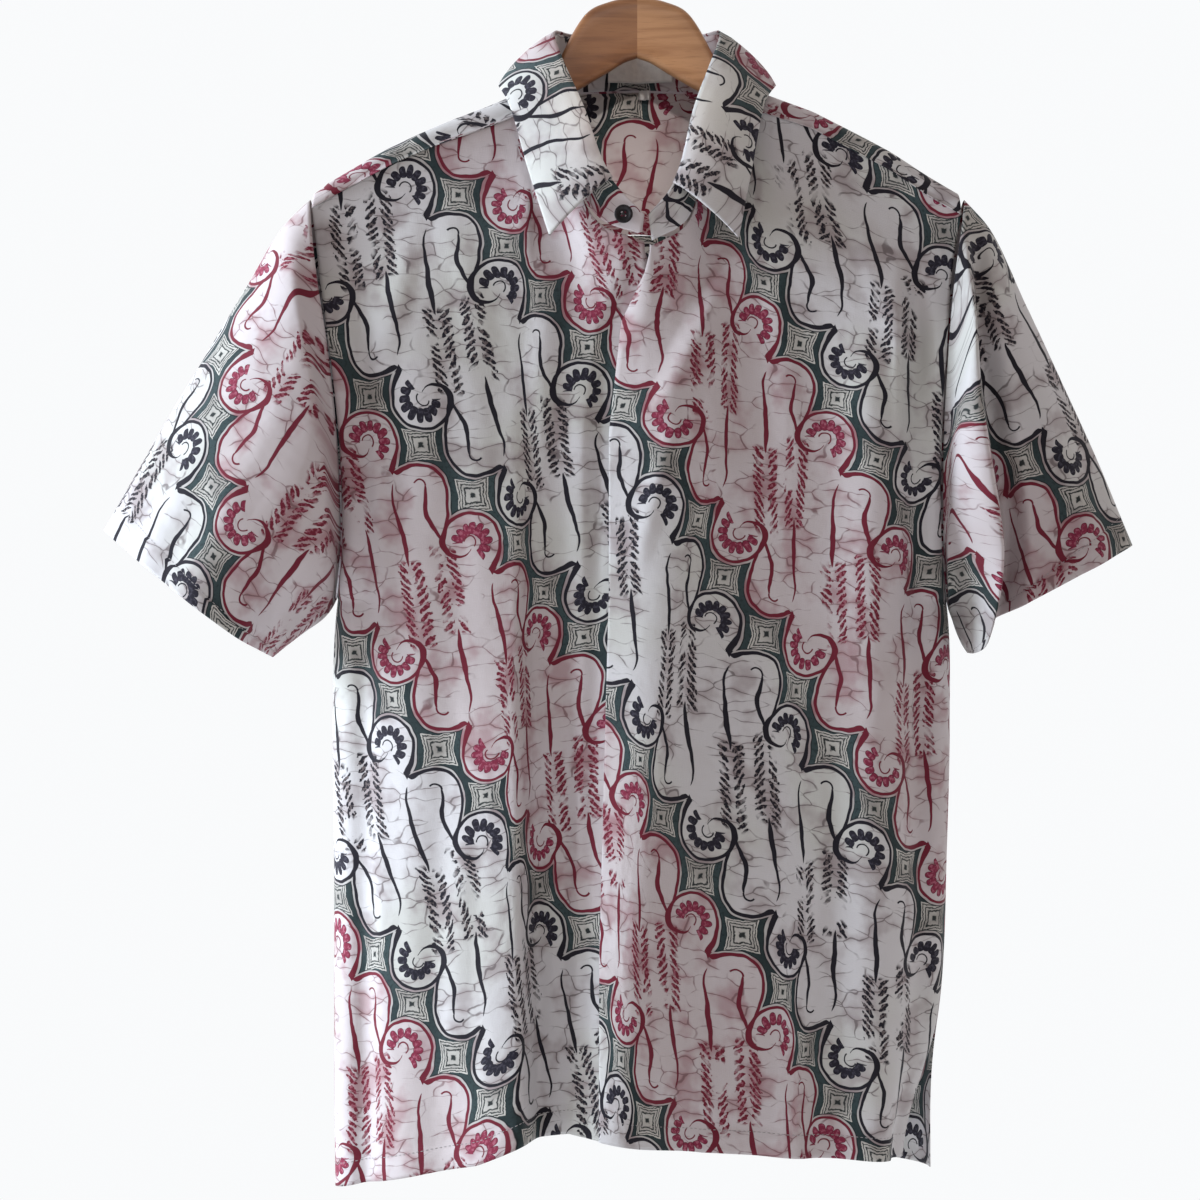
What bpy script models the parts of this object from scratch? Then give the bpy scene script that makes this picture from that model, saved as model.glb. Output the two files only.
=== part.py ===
"""A short-sleeved batik shirt that hangs on a contoured wooden hanger.

Metres, +Z up. The origin is the inside top of the hanger's hook, where a rail holds it. The front
faces -Y. Right and left are the wearer's, so the right half of the shirt lies at -X. Heights in the
tables are drops: distances below the origin.
"""
import math
from collections import namedtuple

import bmesh
import bpy
import numpy as np

CLOTH = 0.0014  # a cloth wall
SEAM_GAP = 0.0003
LAYER_GAP = 0.0005  # between cloth that lies on cloth

# The shirt's body, one row for each level: where its side seams stand and how far front and back
# lie from the hanger's plane in the middle.
Level = namedtuple("Level", "drop right_side left_side front back")
BODY = (
    Level(0.190, -0.2265, 0.2265, -0.046, 0.036),
    Level(0.250, -0.2190, 0.2160, -0.052, 0.046),
    Level(0.310, -0.2100, 0.2105, -0.056, 0.051),
    Level(0.390, -0.2040, 0.2085, -0.058, 0.054),
    Level(0.445, -0.2050, 0.2110, -0.058, 0.056),
    Level(0.480, -0.2100, 0.2165, -0.057, 0.057),
    Level(0.560, -0.2128, 0.2185, -0.055, 0.058),
    Level(0.650, -0.2120, 0.2165, -0.052, 0.058),
    Level(0.740, -0.2118, 0.2130, -0.049, 0.058),
    Level(0.790, -0.2118, 0.2070, -0.047, 0.057),
    Level(0.900, -0.2110, 0.2055, -0.045, 0.056),
)
SIDE_ROUNDNESS = 3.2
SIDE_SQUARENESS = 2.3
UNDERARM = 0.475
VENT_TOP = 0.765
VENT_SPREAD = 0.020  # how far the left front's corner has swung in from the back's at the hem

# Folds that hang in the fronts and the back. The crest runs from the top to the low place, and the
# cloth falls away over "before" towards the wearer's right and over "after" towards the left.
Fold = namedtuple("Fold", "top_x top_drop low_x low_drop before after top_height low_height")
FRONT_FOLDS = (
    Fold(-0.086, 0.34, -0.081, 0.86, 0.085, 0.015, 0.004, 0.033),
    Fold(0.030, 0.28, -0.014, 0.86, 0.066, 0.062, 0.010, 0.036),
    Fold(0.112, 0.68, 0.108, 0.86, 0.034, 0.018, 0.000, 0.009),
    Fold(0.160, 0.30, 0.166, 0.86, 0.034, 0.034, 0.010, 0.012),
    Fold(-0.150, 0.30, -0.158, 0.86, 0.030, 0.034, 0.006, 0.009),
    Fold(-0.190, 0.27, -0.189, 0.42, 0.016, 0.014, -0.007, -0.006),
    Fold(0.194, 0.27, 0.196, 0.46, 0.016, 0.016, -0.007, -0.005),
)
BACK_FOLDS = (
    Fold(-0.120, 0.30, -0.128, 0.86, 0.050, 0.028, 0.004, 0.016),
    Fold(-0.046, 0.24, -0.040, 0.86, 0.034, 0.044, 0.006, 0.014),
    Fold(0.038, 0.24, 0.044, 0.86, 0.044, 0.034, 0.006, 0.015),
    Fold(0.122, 0.30, 0.130, 0.86, 0.028, 0.052, 0.004, 0.017),
)
FOLD_ONSET = 0.09  # the length over which a fold comes up from nothing

# The button edge, one row for each level: the left front's edge, which lies on top, and the right
# front's edge below it.
Edge = namedtuple("Edge", "drop over under")
BUTTON_EDGE = (
    Edge(0.200, 0.0080, 0.0035),
    Edge(0.238, 0.0080, 0.0045),
    Edge(0.252, 0.0045, 0.0110),
    Edge(0.285, -0.0115, 0.0185),
    Edge(0.361, -0.0200, 0.0100),
    Edge(0.468, -0.0200, 0.0100),
    Edge(0.713, -0.0265, 0.0035),
    Edge(0.900, -0.0270, 0.0030),
)
UNDERLAP_DEPTH = 0.0044
UNDERLAP_EARLY = 0.005
UNDERLAP_LEAD = 0.014  # over which the right front sinks below the left one's edge

# Nominal levels that the panels' rows are spaced between.
FRONT_TOP = 0.200
BACK_TOP = 0.225
MEAN_HEM = 0.868

# Hem of the fronts and of the back.
Hem = namedtuple("Hem", "x front back")
HEM = (
    Hem(-0.212, 0.8840, 0.8780),
    Hem(-0.110, 0.8595, 0.8650),
    Hem(-0.079, 0.8455, 0.8580),
    Hem(-0.047, 0.8385, 0.8540),
    Hem(0.002, 0.8470, 0.8570),
    Hem(0.044, 0.8540, 0.8620),
    Hem(0.205, 0.8625, 0.8720),
)

# The shoulder, one row for each place across it: the ridge, the yoke's seam to the fronts and its
# seam to the back.
Shoulder = namedtuple("Shoulder", "x ridge front_seam back_seam")
SHOULDER = (
    Shoulder(-0.2265, 0.1975, 0.2045, 0.2400),
    Shoulder(-0.2040, 0.1830, 0.1915, 0.2330),
    Shoulder(-0.1740, 0.1640, 0.1735, 0.2270),
    Shoulder(-0.1370, 0.1440, 0.1570, 0.2230),
    Shoulder(-0.0930, 0.1235, 0.1410, 0.2190),
    Shoulder(-0.0740, 0.1140, 0.1320, 0.2175),
    Shoulder(0.0000, 0.0795, 0.1320, 0.2150),
    Shoulder(0.0740, 0.1140, 0.1300, 0.2175),
    Shoulder(0.0930, 0.1235, 0.1365, 0.2190),
    Shoulder(0.1200, 0.1365, 0.1455, 0.2215),
    Shoulder(0.1740, 0.1640, 0.1755, 0.2270),
    Shoulder(0.2040, 0.1830, 0.1965, 0.2330),
    Shoulder(0.2265, 0.1975, 0.2095, 0.2400),
)
HANGER_SWEEP = 0.024  # how far the hanger's ends come forward
SHOULDER_REACH = 0.2265
YOKE_SPACING = 1.4  # closer rows over the ridge
NECK_CLEAR = 0.003  # between the neck's corner and the nearest column of the seam
SHOULDER_SEAM = 0.0011  # the gap on the outside, where both walls lean together inside
RIDGE_FRONT = 0.013  # half the shoulder's thickness in front of its ridge
RIDGE_DROP = 0.015
FRONT_SETTLE = 0.11  # below the shoulder, where the cloth has reached the body's own depth

# The armhole, an upright oval whose top sits forward on the hanger.
ARM_TOP = 0.198
ARM_FRONT = 0.040
ARM_BACK = 0.044

# The collar, one row for each place round the neck from the wearer's right to the left: where the
# stand is sewn to the neck, where the leaf folds over it, and the leaf's outer edge.
Neck = namedtuple("Neck", "place neck fold leaf_edge")
COLLAR = (
    Neck(0.000, (0.0022, -0.0670, -0.2284), (0.0041, -0.0670, -0.2128), None),
    Neck(0.062, (-0.0250, -0.0620, -0.2174), (-0.0177, -0.0645, -0.1892), (-0.0600, -0.0650, -0.2270)),
    Neck(0.171, (-0.0495, -0.0450, -0.1718), (-0.0373, -0.0440, -0.1375), (-0.0755, -0.0460, -0.1768)),
    Neck(0.275, (-0.0740, -0.0180, -0.1320), (-0.0533, -0.0180, -0.0970), (-0.0900, -0.0220, -0.1280)),
    Neck(0.313, (-0.0720, -0.0040, -0.1140), (-0.0575, -0.0030, -0.0818), (-0.0960, -0.0010, -0.1155)),
    Neck(0.385, (-0.0520, 0.0241, -0.1165), (-0.0450, 0.0230, -0.0775), (-0.0780, 0.0420, -0.1230)),
    Neck(0.500, (0.0000, 0.0370, -0.1143), (0.0000, 0.0345, -0.0755), (0.0000, 0.0540, -0.1280)),
    Neck(0.615, (0.0520, 0.0241, -0.1165), (0.0450, 0.0230, -0.0775), (0.0780, 0.0420, -0.1230)),
    Neck(0.687, (0.0720, -0.0040, -0.1140), (0.0575, -0.0030, -0.0818), (0.0960, -0.0010, -0.1155)),
    Neck(0.725, (0.0740, -0.0180, -0.1300), (0.0529, -0.0180, -0.0970), (0.0895, -0.0220, -0.1265)),
    Neck(0.829, (0.0485, -0.0450, -0.1718), (0.0387, -0.0440, -0.1375), (0.0780, -0.0470, -0.1768)),
    Neck(0.938, (0.0315, -0.0600, -0.2191), (0.0236, -0.0645, -0.1926), (0.0678, -0.0650, -0.2286)),
    Neck(1.000, (0.0095, -0.0650, -0.2320), (0.0070, -0.0650, -0.2126), None),
)
NECK_HALF_WIDTH = 0.0740
BACK_NECK_START = 0.275  # the place where the neck seam leaves the fronts for the yoke
NECK_GAP = 0.0016
NECK_EASE = 0.0012
LEAF_START = 0.062
LEAF_LIFT = 0.0022
LEAF_CROWN = 0.005

# The sleeves, one row for each place from armhole to cuff: the upper edge, the lower edge, how far
# the tube reaches to front and back of its middle plane, and that plane's own depth.
Sleeve = namedtuple("Sleeve", "along top_x top_drop low_x low_drop front back plane")
RIGHT_SLEEVE = (
    Sleeve(0.00, -0.2265, 0.1980, -0.2100, 0.4750, 0.040, 0.044, 0.0),
    Sleeve(0.08, -0.2430, 0.2140, -0.2125, 0.4800, 0.046, 0.046, 0.0),
    Sleeve(0.25, -0.2710, 0.2580, -0.2190, 0.4880, 0.052, 0.046, -0.004),
    Sleeve(0.50, -0.3055, 0.3155, -0.2310, 0.4970, 0.050, 0.042, -0.012),
    Sleeve(0.75, -0.3385, 0.3710, -0.2425, 0.5060, 0.044, 0.038, -0.016),
    Sleeve(1.00, -0.3702, 0.4264, -0.2530, 0.5147, 0.038, 0.034, -0.018),
)
LEFT_SLEEVE = (
    Sleeve(0.00, 0.2265, 0.1980, 0.2165, 0.4750, 0.040, 0.044, 0.0),
    Sleeve(0.08, 0.2420, 0.2150, 0.2175, 0.4800, 0.044, 0.046, 0.0),
    Sleeve(0.25, 0.2690, 0.2690, 0.2200, 0.4850, 0.040, 0.046, 0.004),
    Sleeve(0.50, 0.2960, 0.3240, 0.2230, 0.4900, 0.034, 0.042, 0.006),
    Sleeve(0.75, 0.3220, 0.3780, 0.2270, 0.4950, 0.030, 0.038, 0.004),
    Sleeve(1.00, 0.3465, 0.4365, 0.2310, 0.4980, 0.028, 0.034, 0.0),
)
# Folds on a sleeve. The crest's height on the tube, 0 at the upper edge and 1 at the lower, is given
# near the shoulder and at the cuff. A fold lies on the front, or with side -1 on the back.
Drape = namedtuple("Drape", "shoulder cuff above below shoulder_height cuff_height side")
RIGHT_SLEEVE_FOLDS = (
    Drape(0.10, 0.62, 0.20, 0.16, 0.004, 0.012, 1),
    Drape(0.05, 0.28, 0.12, 0.14, 0.002, 0.007, 1),
    Drape(0.35, 0.92, 0.16, 0.10, -0.004, -0.008, 1),
    Drape(0.30, 0.60, 0.20, 0.20, 0.004, 0.010, -1),
)
LEFT_SLEEVE_FOLDS = (
    Drape(0.16, 0.93, 0.14, 0.30, 0.006, 0.048, 1),
    Drape(0.05, 0.70, 0.26, 0.12, -0.004, -0.022, 1),
    Drape(0.02, 0.22, 0.12, 0.14, 0.002, 0.008, 1),
    Drape(0.30, 0.60, 0.20, 0.20, 0.004, 0.010, -1),
)
LEFT_ROLL_DROP = 0.014  # how much lower the left sleeve's hanging roll reaches at the cuff
SLEEVE_GAP = 0.0012
RIGHT_LAP = 0.010  # how far a sleeve's front laps over the armhole seam
LEFT_LAP = 0.004

# The hanger: a jointed pair of wooden arms and a steel hook.
Arm = namedtuple("Arm", "x top low thick")
HANGER_ARM = (
    Arm(0.0002, 0.0536, 0.0958, 0.0130),
    Arm(0.0090, 0.0543, 0.0990, 0.0130),
    Arm(0.0200, 0.0568, 0.1058, 0.0130),
    Arm(0.0370, 0.0665, 0.1160, 0.0130),
    Arm(0.0520, 0.0925, 0.1250, 0.0130),
    Arm(0.0600, 0.1110, 0.1320, 0.0130),
    Arm(0.0670, 0.1210, 0.1380, 0.0130),
    Arm(0.0740, 0.1265, 0.1430, 0.0130),
    Arm(0.0930, 0.1330, 0.1530, 0.0140),
    Arm(0.1370, 0.1490, 0.1720, 0.0160),
    Arm(0.1740, 0.1690, 0.1920, 0.0170),
    Arm(0.2040, 0.1885, 0.2080, 0.0160),
    Arm(0.2160, 0.1970, 0.2120, 0.0120),
)
ARM_RINGS = 24
ARM_SQUARENESS = 0.55
HOOK_WIRE = 0.0035
HOOK_INNER_RADIUS = 0.018
HOOK_STEM_FOOT = 0.0532
HOOK_START = -62
HOOK_END = 218

BUTTON_RADIUS = 0.0063
BUTTON_THICK = 0.0026
BUTTON_AT = (-0.0100, -0.2128)
LABEL_FROM = (-0.0202, -0.1084)
LABEL_TO = (0.0253, -0.0850)
TAB_FROM = (0.0014, -0.1202)
TAB_TO = (0.0091, -0.1135)
LABEL_THICK = 0.0008

FRONT_COLUMNS = 20
NECK_CLOSER = 0.8  # how much closer the fronts' columns are below the neck
BACK_NECK_COLUMNS = 14
BODY_ROWS = 24
YOKE_ROWS = 9
SLEEVE_ROWS = 12
RIGHT_SLEEVE_COLUMNS = 30
LEFT_SLEEVE_COLUMNS = 44
FRONT_NECK_COLUMNS = 8
STAND_COLUMNS = BACK_NECK_COLUMNS + 2 * FRONT_NECK_COLUMNS
LEAF_COLUMNS = 30
LEAF_ROWS = 5
STAND_ROWS = 2

CLOTH_WHITE = (0.72, 0.66, 0.67)
WOOD = (0.36, 0.17, 0.07)
STEEL = (0.62, 0.62, 0.62)
BLACK = (0.012, 0.011, 0.012)
LABEL_GREY = (0.62, 0.62, 0.60)


def follow(rows, key, column, at):
    """One column of a table, read between its rows on a smooth curve through them."""
    known = np.array([getattr(row, key) for row in rows])
    values = np.array([getattr(row, column) for row in rows], dtype=float)
    slopes = np.gradient(values, known, axis=0)
    at = np.clip(np.asarray(at, dtype=float), known[0], known[-1])
    step = np.clip(np.searchsorted(known, at) - 1, 0, len(known) - 2)
    span = known[step + 1] - known[step]
    part = (at - known[step]) / span
    if values.ndim > 1:
        part, span = part[..., None], span[..., None]
    rise, fall = part * part * (3 - 2 * part), part * (1 - part)
    bend = span * fall * ((1 - part) * slopes[step] - part * slopes[step + 1])
    return values[step] * (1 - rise) + values[step + 1] * rise + bend


def corner(rows, key, column, at):
    """The same between straight lines, for an outline with corners."""
    return np.interp(at, [getattr(row, key) for row in rows], [getattr(row, column) for row in rows])


def ease(part):
    """0 before the start, 1 after the end, and smooth between."""
    part = np.clip(part, 0, 1)
    return part * part * (3 - 2 * part)


def mix(first, second, part):
    return first + (second - first) * part


def crest(distance, before, after):
    """A soft ridge, 1 on its crest and 0 where it has run out on either side."""
    part = np.where(distance < 0, -distance / before, distance / after)
    return np.where(part < 1, 0.5 + 0.5 * np.cos(math.pi * np.clip(part, 0, 1)), 0.0)


def sweep(x):
    """How far forward the hanger, and the shoulder on it, lie at a place across."""
    return -HANGER_SWEEP * (np.abs(x) / SHOULDER_REACH) ** 1.5


def arm_axis(drop):
    """The depth of the armhole's middle: forward at the shoulder and in the side seam below."""
    return sweep(SHOULDER_REACH) * (1 - ease((drop - ARM_TOP) / (UNDERARM - ARM_TOP)))


def arm_reach(drop):
    """How wide the armhole's oval is at a level, from 0 to 1."""
    middle, half = (ARM_TOP + UNDERARM) / 2, (UNDERARM - ARM_TOP) / 2
    return np.sqrt(np.clip(1 - ((drop - middle) / half) ** 2, 0, 1))


def side_depth(drop, front):
    """The depth of a panel's side edge: round the armhole, then at the side seam."""
    reach = -ARM_FRONT if front else ARM_BACK
    seam = -2 * SEAM_GAP if front else 2 * SEAM_GAP
    return arm_axis(drop) + reach * arm_reach(drop) + seam


def fold_height(folds, x, drop):
    height = np.zeros(np.broadcast(x, drop).shape)
    for fold in folds:
        down = (drop - fold.top_drop) / (fold.low_drop - fold.top_drop)
        middle = mix(fold.top_x, fold.low_x, np.clip(down, -0.3, 1.1))
        tall = mix(fold.top_height, fold.low_height, np.clip(down, 0, 1))
        onset = ease((drop - fold.top_drop) / FOLD_ONSET + 0.5)
        height = height + tall * onset * crest(x - middle, fold.before, fold.after)
    return height


def free_depth(x, drop, front):
    """The depth of the front or back where it hangs clear of the shoulder."""
    right, left = follow(BODY, "drop", "right_side", drop), follow(BODY, "drop", "left_side", drop)
    aside = np.clip(np.abs(x - (right + left) / 2) / ((left - right) / 2), 0, 1)
    full = (1 - aside**SIDE_ROUNDNESS) ** (1 / SIDE_SQUARENESS)
    edge = side_depth(drop, front)
    deep = follow(BODY, "drop", "front" if front else "back", drop)
    height = fold_height(FRONT_FOLDS if front else BACK_FOLDS, x, drop) * ease((1 - aside) / 0.12)
    return mix(edge, deep, full) + (-height if front else height)


def front_neck(x):
    """The depth and drop of the neck seam across the fronts."""
    place = np.linspace(0, 1, 401)
    line = follow(COLLAR, "place", "neck", place)
    line = line[np.abs(place - 0.5) > 0.5 - BACK_NECK_START]
    line = line[np.argsort(line[:, 0])]
    return np.interp(x, line[:, 0], line[:, 1]), np.interp(x, line[:, 0], -line[:, 2])


def top_of_front(x):
    """The drop and depth of the fronts' upper edge: the yoke's seam, then the neck."""
    seam_drop = corner(SHOULDER, "x", "front_seam", x)
    seam_depth = shoulder_front(x, seam_drop)
    neck_depth, neck_drop = front_neck(x)
    inside = np.abs(x) < NECK_HALF_WIDTH
    return np.where(inside, neck_drop + NECK_EASE, seam_drop), np.where(inside, neck_depth, seam_depth)


def shoulder_front(x, drop):
    """The depth of the shoulder's front slope at a level below its ridge."""
    below = (drop - follow(SHOULDER, "x", "ridge", x)) / RIDGE_DROP
    return sweep(x) - RIDGE_FRONT * np.sqrt(np.clip(1 - (1 - np.clip(below, 0, 1)) ** 2, 0, 1))


def front_free(x, drop):
    return free_depth(x, drop, True)


def front_depth(x, drop):
    top_drop, top_depth = top_of_front(x)
    return mix(top_depth, front_free(x, drop), ease((drop - top_drop) / FRONT_SETTLE))


def back_depth(x, drop):
    return free_depth(x, drop, False)


def spread(first, last, drop, depth, parts, closer=0.0):
    """Places across a row, spaced evenly along the cloth and not along X, and closer by the neck."""
    x = first + (last - first) * (1 - np.cos(np.linspace(0, math.pi, 400))) / 2
    y = depth(x, np.full_like(x, drop))
    weight = 1 + closer * (np.abs(x[1:]) < NECK_HALF_WIDTH)
    run = np.concatenate([[0], np.cumsum(np.hypot(np.diff(x), np.diff(y)) * weight)])
    return np.interp(np.asarray(parts) * run[-1], run, x)


def level(down):
    """The nominal drop of a row of the fronts, 0 at the top and 1 at the hem."""
    return mix(FRONT_TOP, MEAN_HEM, down)


def right_front(across, down):
    """From the right armhole and side seam to the edge that lies under the left front."""
    x = np.empty_like(across)
    for row in np.unique(down):
        here, drop = down == row, level(row)
        side = follow(BODY, "drop", "right_side", drop)
        edge = corner(BUTTON_EDGE, "drop", "under", drop)
        x[here] = spread(side, edge, drop, front_free, across[here], NECK_CLOSER)
    top_drop = top_of_front(x)[0] + SHOULDER_SEAM / 2
    drop = mix(top_drop, corner(HEM, "x", "front", x), down)
    x = np.where(across > 0.999, corner(BUTTON_EDGE, "drop", "under", drop), x)
    x = np.where(across < 0.001, follow(BODY, "drop", "right_side", drop), x)
    lead = (x - corner(BUTTON_EDGE, "drop", "over", drop) + UNDERLAP_EARLY) / UNDERLAP_LEAD + 1
    depth = front_depth(x, drop) + UNDERLAP_DEPTH * ease(lead)
    return np.stack([x, depth, -drop], axis=1)


def left_front(across, down):
    """From the button edge, which lies on top, to the left armhole and side seam."""
    x = np.empty_like(across)
    for row in np.unique(down):
        here, drop = down == row, level(row)
        side = follow(BODY, "drop", "left_side", drop)
        edge = corner(BUTTON_EDGE, "drop", "over", drop)
        x[here] = spread(edge, side, drop, front_free, across[here], NECK_CLOSER)
    top_drop = top_of_front(x)[0] + SHOULDER_SEAM / 2
    drop = mix(top_drop, corner(HEM, "x", "front", x), down)
    x = np.where(across < 0.001, corner(BUTTON_EDGE, "drop", "over", drop), x)
    x = np.where(across > 0.999, follow(BODY, "drop", "left_side", drop), x)
    depth = front_depth(x, drop)
    swing = VENT_SPREAD * ease((drop - VENT_TOP) / (MEAN_HEM - VENT_TOP)) * ease((across - 0.8) / 0.2)
    return np.stack([x - swing, depth, -drop], axis=1)


def back(across, down):
    """From the right side seam to the left one, below the yoke."""
    x = np.empty_like(across)
    for row in np.unique(down):
        here, drop = down == row, mix(BACK_TOP, MEAN_HEM, row)
        sides = [follow(BODY, "drop", side, drop) for side in ("right_side", "left_side")]
        x[here] = spread(*sides, drop, back_depth, across[here])
    drop = mix(corner(SHOULDER, "x", "back_seam", x) + SEAM_GAP, corner(HEM, "x", "back", x), down)
    x = np.where(across < 0.001, follow(BODY, "drop", "right_side", drop), x)
    x = np.where(across > 0.999, follow(BODY, "drop", "left_side", drop), x)
    return np.stack([x, back_depth(x, drop), -drop], axis=1)


def yoke_starts():
    """Where the yoke's columns start: on the right front's seam, round the neck, on the left one's."""
    parts = np.linspace(0, 1, FRONT_COLUMNS + 1)
    top = np.zeros_like(parts)
    right, left = right_front(parts, top)[:, 0], left_front(parts, top)[:, 0]
    first_clear = NECK_HALF_WIDTH + NECK_CLEAR
    arms = np.concatenate([right[right < -first_clear], left[left > first_clear]])
    drop = corner(SHOULDER, "x", "front_seam", arms) - SHOULDER_SEAM / 2
    seam = np.stack([arms, shoulder_front(arms, drop), -drop], axis=1)
    places = np.linspace(BACK_NECK_START, 1 - BACK_NECK_START, BACK_NECK_COLUMNS + 1)
    neck = follow(COLLAR, "place", "neck", places)
    return np.concatenate([seam[arms < 0], neck, seam[arms > 0]])


def shoulder_drop(x, depth):
    """The drop of the shoulder's outside at a place: it falls away before and behind its ridge."""
    ridge, seam = follow(SHOULDER, "x", "ridge", x), corner(SHOULDER, "x", "back_seam", x)
    ahead = np.clip((sweep(x) - depth) / RIDGE_FRONT, 0, 1)
    behind = np.clip((depth - sweep(x)) / (back_depth(x, seam) - sweep(x)), 0, 1)
    return (ridge + RIDGE_DROP * (1 - np.sqrt(1 - ahead**2))
            + (seam - SEAM_GAP - ridge) * (1 - np.sqrt(1 - behind**2)))


def yoke(across, down):
    """Over both shoulders, from the fronts' seams and the back of the neck to the back's seam."""
    starts = yoke_starts()
    parts = np.linspace(0, 1, len(starts))
    ends = back(parts, np.zeros_like(parts))
    start = np.stack([np.interp(across, parts, starts[:, k]) for k in range(3)], axis=1)
    end = np.stack([np.interp(across, parts, ends[:, k]) for k in range(3)], axis=1)
    x = mix(start[:, 0], end[:, 0], down)
    depth = mix(start[:, 1], end[:, 1], np.sin(down**YOKE_SPACING * math.pi / 2))
    rise = -start[:, 2] - shoulder_drop(start[:, 0], start[:, 1])
    drop = shoulder_drop(x, depth) + rise * (1 - down) ** 2
    return np.stack([x, depth, -drop], axis=1)


def sleeve_ring(rows, folds, lap, roll_drop, turn, along):
    """Round a sleeve from its upper edge (turn 0) down the front to the underarm and up the back."""
    low, face = (1 - np.cos(turn)) / 2, np.sin(turn)
    top_x, top_drop = follow(rows, "along", "top_x", along), follow(rows, "along", "top_drop", along)
    low_x, low_drop = follow(rows, "along", "low_x", along), follow(rows, "along", "low_drop", along)
    side = "right_side" if rows[0].top_x < 0 else "left_side"
    hole_drop = mix(ARM_TOP, UNDERARM, low)
    bow = follow(BODY, "drop", side, hole_drop) - mix(rows[0].top_x, rows[0].low_x, low)
    lapped = lap * crest(along - 0.2, 0.2, 0.4) * np.clip(face, 0, 1)
    x = mix(top_x, low_x, low) + bow * (1 - along) ** 2
    x = x + math.copysign(1, rows[0].top_x) * (SLEEVE_GAP * (1 - along) - lapped)
    drop = mix(top_drop, low_drop, low)
    plane = mix(arm_axis(hole_drop), follow(rows, "along", "plane", along), ease(along))
    reach = np.where(face > 0, -follow(rows, "along", "front", along), follow(rows, "along", "back", along))
    depth = plane + reach * np.abs(face)
    for fold in folds:
        middle = mix(fold.shoulder, fold.cuff, along**0.6)
        tall = mix(fold.shoulder_height, fold.cuff_height, along) * ease(along / 0.16)
        shown = np.clip(fold.side * face, 0, 1) ** 0.25
        depth = depth - fold.side * tall * crest(low - middle, fold.above, fold.below) * shown
    drop = drop + roll_drop * along * crest(low - 1, 0.2, 0.2) * np.clip(face + 1, 0, 1)
    return np.stack([x, depth, -drop], axis=-1)


def sleeve(rows, folds, lap, roll_drop):
    """A function for a sleeve whose columns are spaced evenly along the cloth of every ring."""
    def shape(around, down):
        turn = np.linspace(0, 2 * math.pi, 721)
        places = np.empty((len(around), 3))
        for row in np.unique(down):
            ring = sleeve_ring(rows, folds, lap, roll_drop, turn, np.full_like(turn, row))
            run = np.concatenate([[0], np.cumsum(np.linalg.norm(np.diff(ring, axis=0), axis=1))])
            here = down == row
            places[here] = [[np.interp(part * run[-1], run, ring[:, k]) for k in range(3)]
                            for part in around[here]]
        return places
    return shape


def outward(place):
    """The level direction away from the neck at a place round the collar."""
    fold = follow(COLLAR, "place", "fold", place)
    away = fold - np.array([0.0, -0.016, 0.0])
    away[:, 2] = 0
    return away / np.linalg.norm(away, axis=1)[:, None]


def stand(around, up):
    """The collar's stand, from the neck seam up to the fold, with the yoke's own columns behind."""
    turns = FRONT_NECK_COLUMNS / STAND_COLUMNS
    place = np.interp(around, [0, turns, 1 - turns, 1], [0, BACK_NECK_START, 1 - BACK_NECK_START, 1])
    neck, fold = follow(COLLAR, "place", "neck", place), follow(COLLAR, "place", "fold", place)
    neck = neck + np.array([0.0, 0.0, NECK_GAP])
    return mix(neck, fold, up[:, None])


def leaf(around, out):
    """The collar's leaf, from the fold over the stand to its free edge."""
    place = mix(LEAF_START, 1 - LEAF_START, around)
    rows = [row for row in COLLAR if row.leaf_edge]
    away = outward(place)
    fold = follow(COLLAR, "place", "fold", place) + away * LEAF_LIFT * ease(out / 0.12)[:, None]
    fold[:, 2] += NECK_GAP
    edge = follow(rows, "place", "leaf_edge", place)
    crown = LEAF_CROWN * 4 * out * (1 - out)
    return mix(fold, edge, out[:, None]) + away * crown[:, None]


def material(name, colour, roughness=0.85, metallic=0.0):
    finish = bpy.data.materials.new(name)
    finish.use_nodes = True
    shader = finish.node_tree.nodes["Principled BSDF"]
    shader.inputs["Base Color"].default_value = (*colour, 1.0)
    shader.inputs["Roughness"].default_value = roughness
    shader.inputs["Metallic"].default_value = metallic
    return finish


def add(name, mesh, finish):
    piece = bpy.data.objects.new(name, mesh)
    piece.data.materials.append(finish)
    parts.objects.link(piece)
    return piece


def sheet(name, shape, columns, rows, inward, thick=CLOTH, finish=None):
    """A grid of cloth carried to shape(across, down), with a wall on its inner or outer side."""
    bm = bmesh.new()
    bmesh.ops.create_grid(bm, x_segments=columns, y_segments=rows, size=0.5)
    flat = np.array([vert.co for vert in bm.verts])
    across, down = np.round(flat[:, 0] + 0.5, 6), np.round(0.5 - flat[:, 1], 6)
    for vert, place in zip(bm.verts, shape(across, down)):
        vert.co = place
    bmesh.ops.remove_doubles(bm, verts=bm.verts, dist=1e-6)
    mesh = bpy.data.meshes.new(name)
    bm.to_mesh(mesh)
    bm.free()
    mesh.shade_smooth()
    piece = add(name, mesh, finish or material(name, CLOTH_WHITE))
    wall = piece.modifiers.new("Wall", "SOLIDIFY")
    wall.thickness = thick
    wall.offset = inward
    return piece


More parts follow.
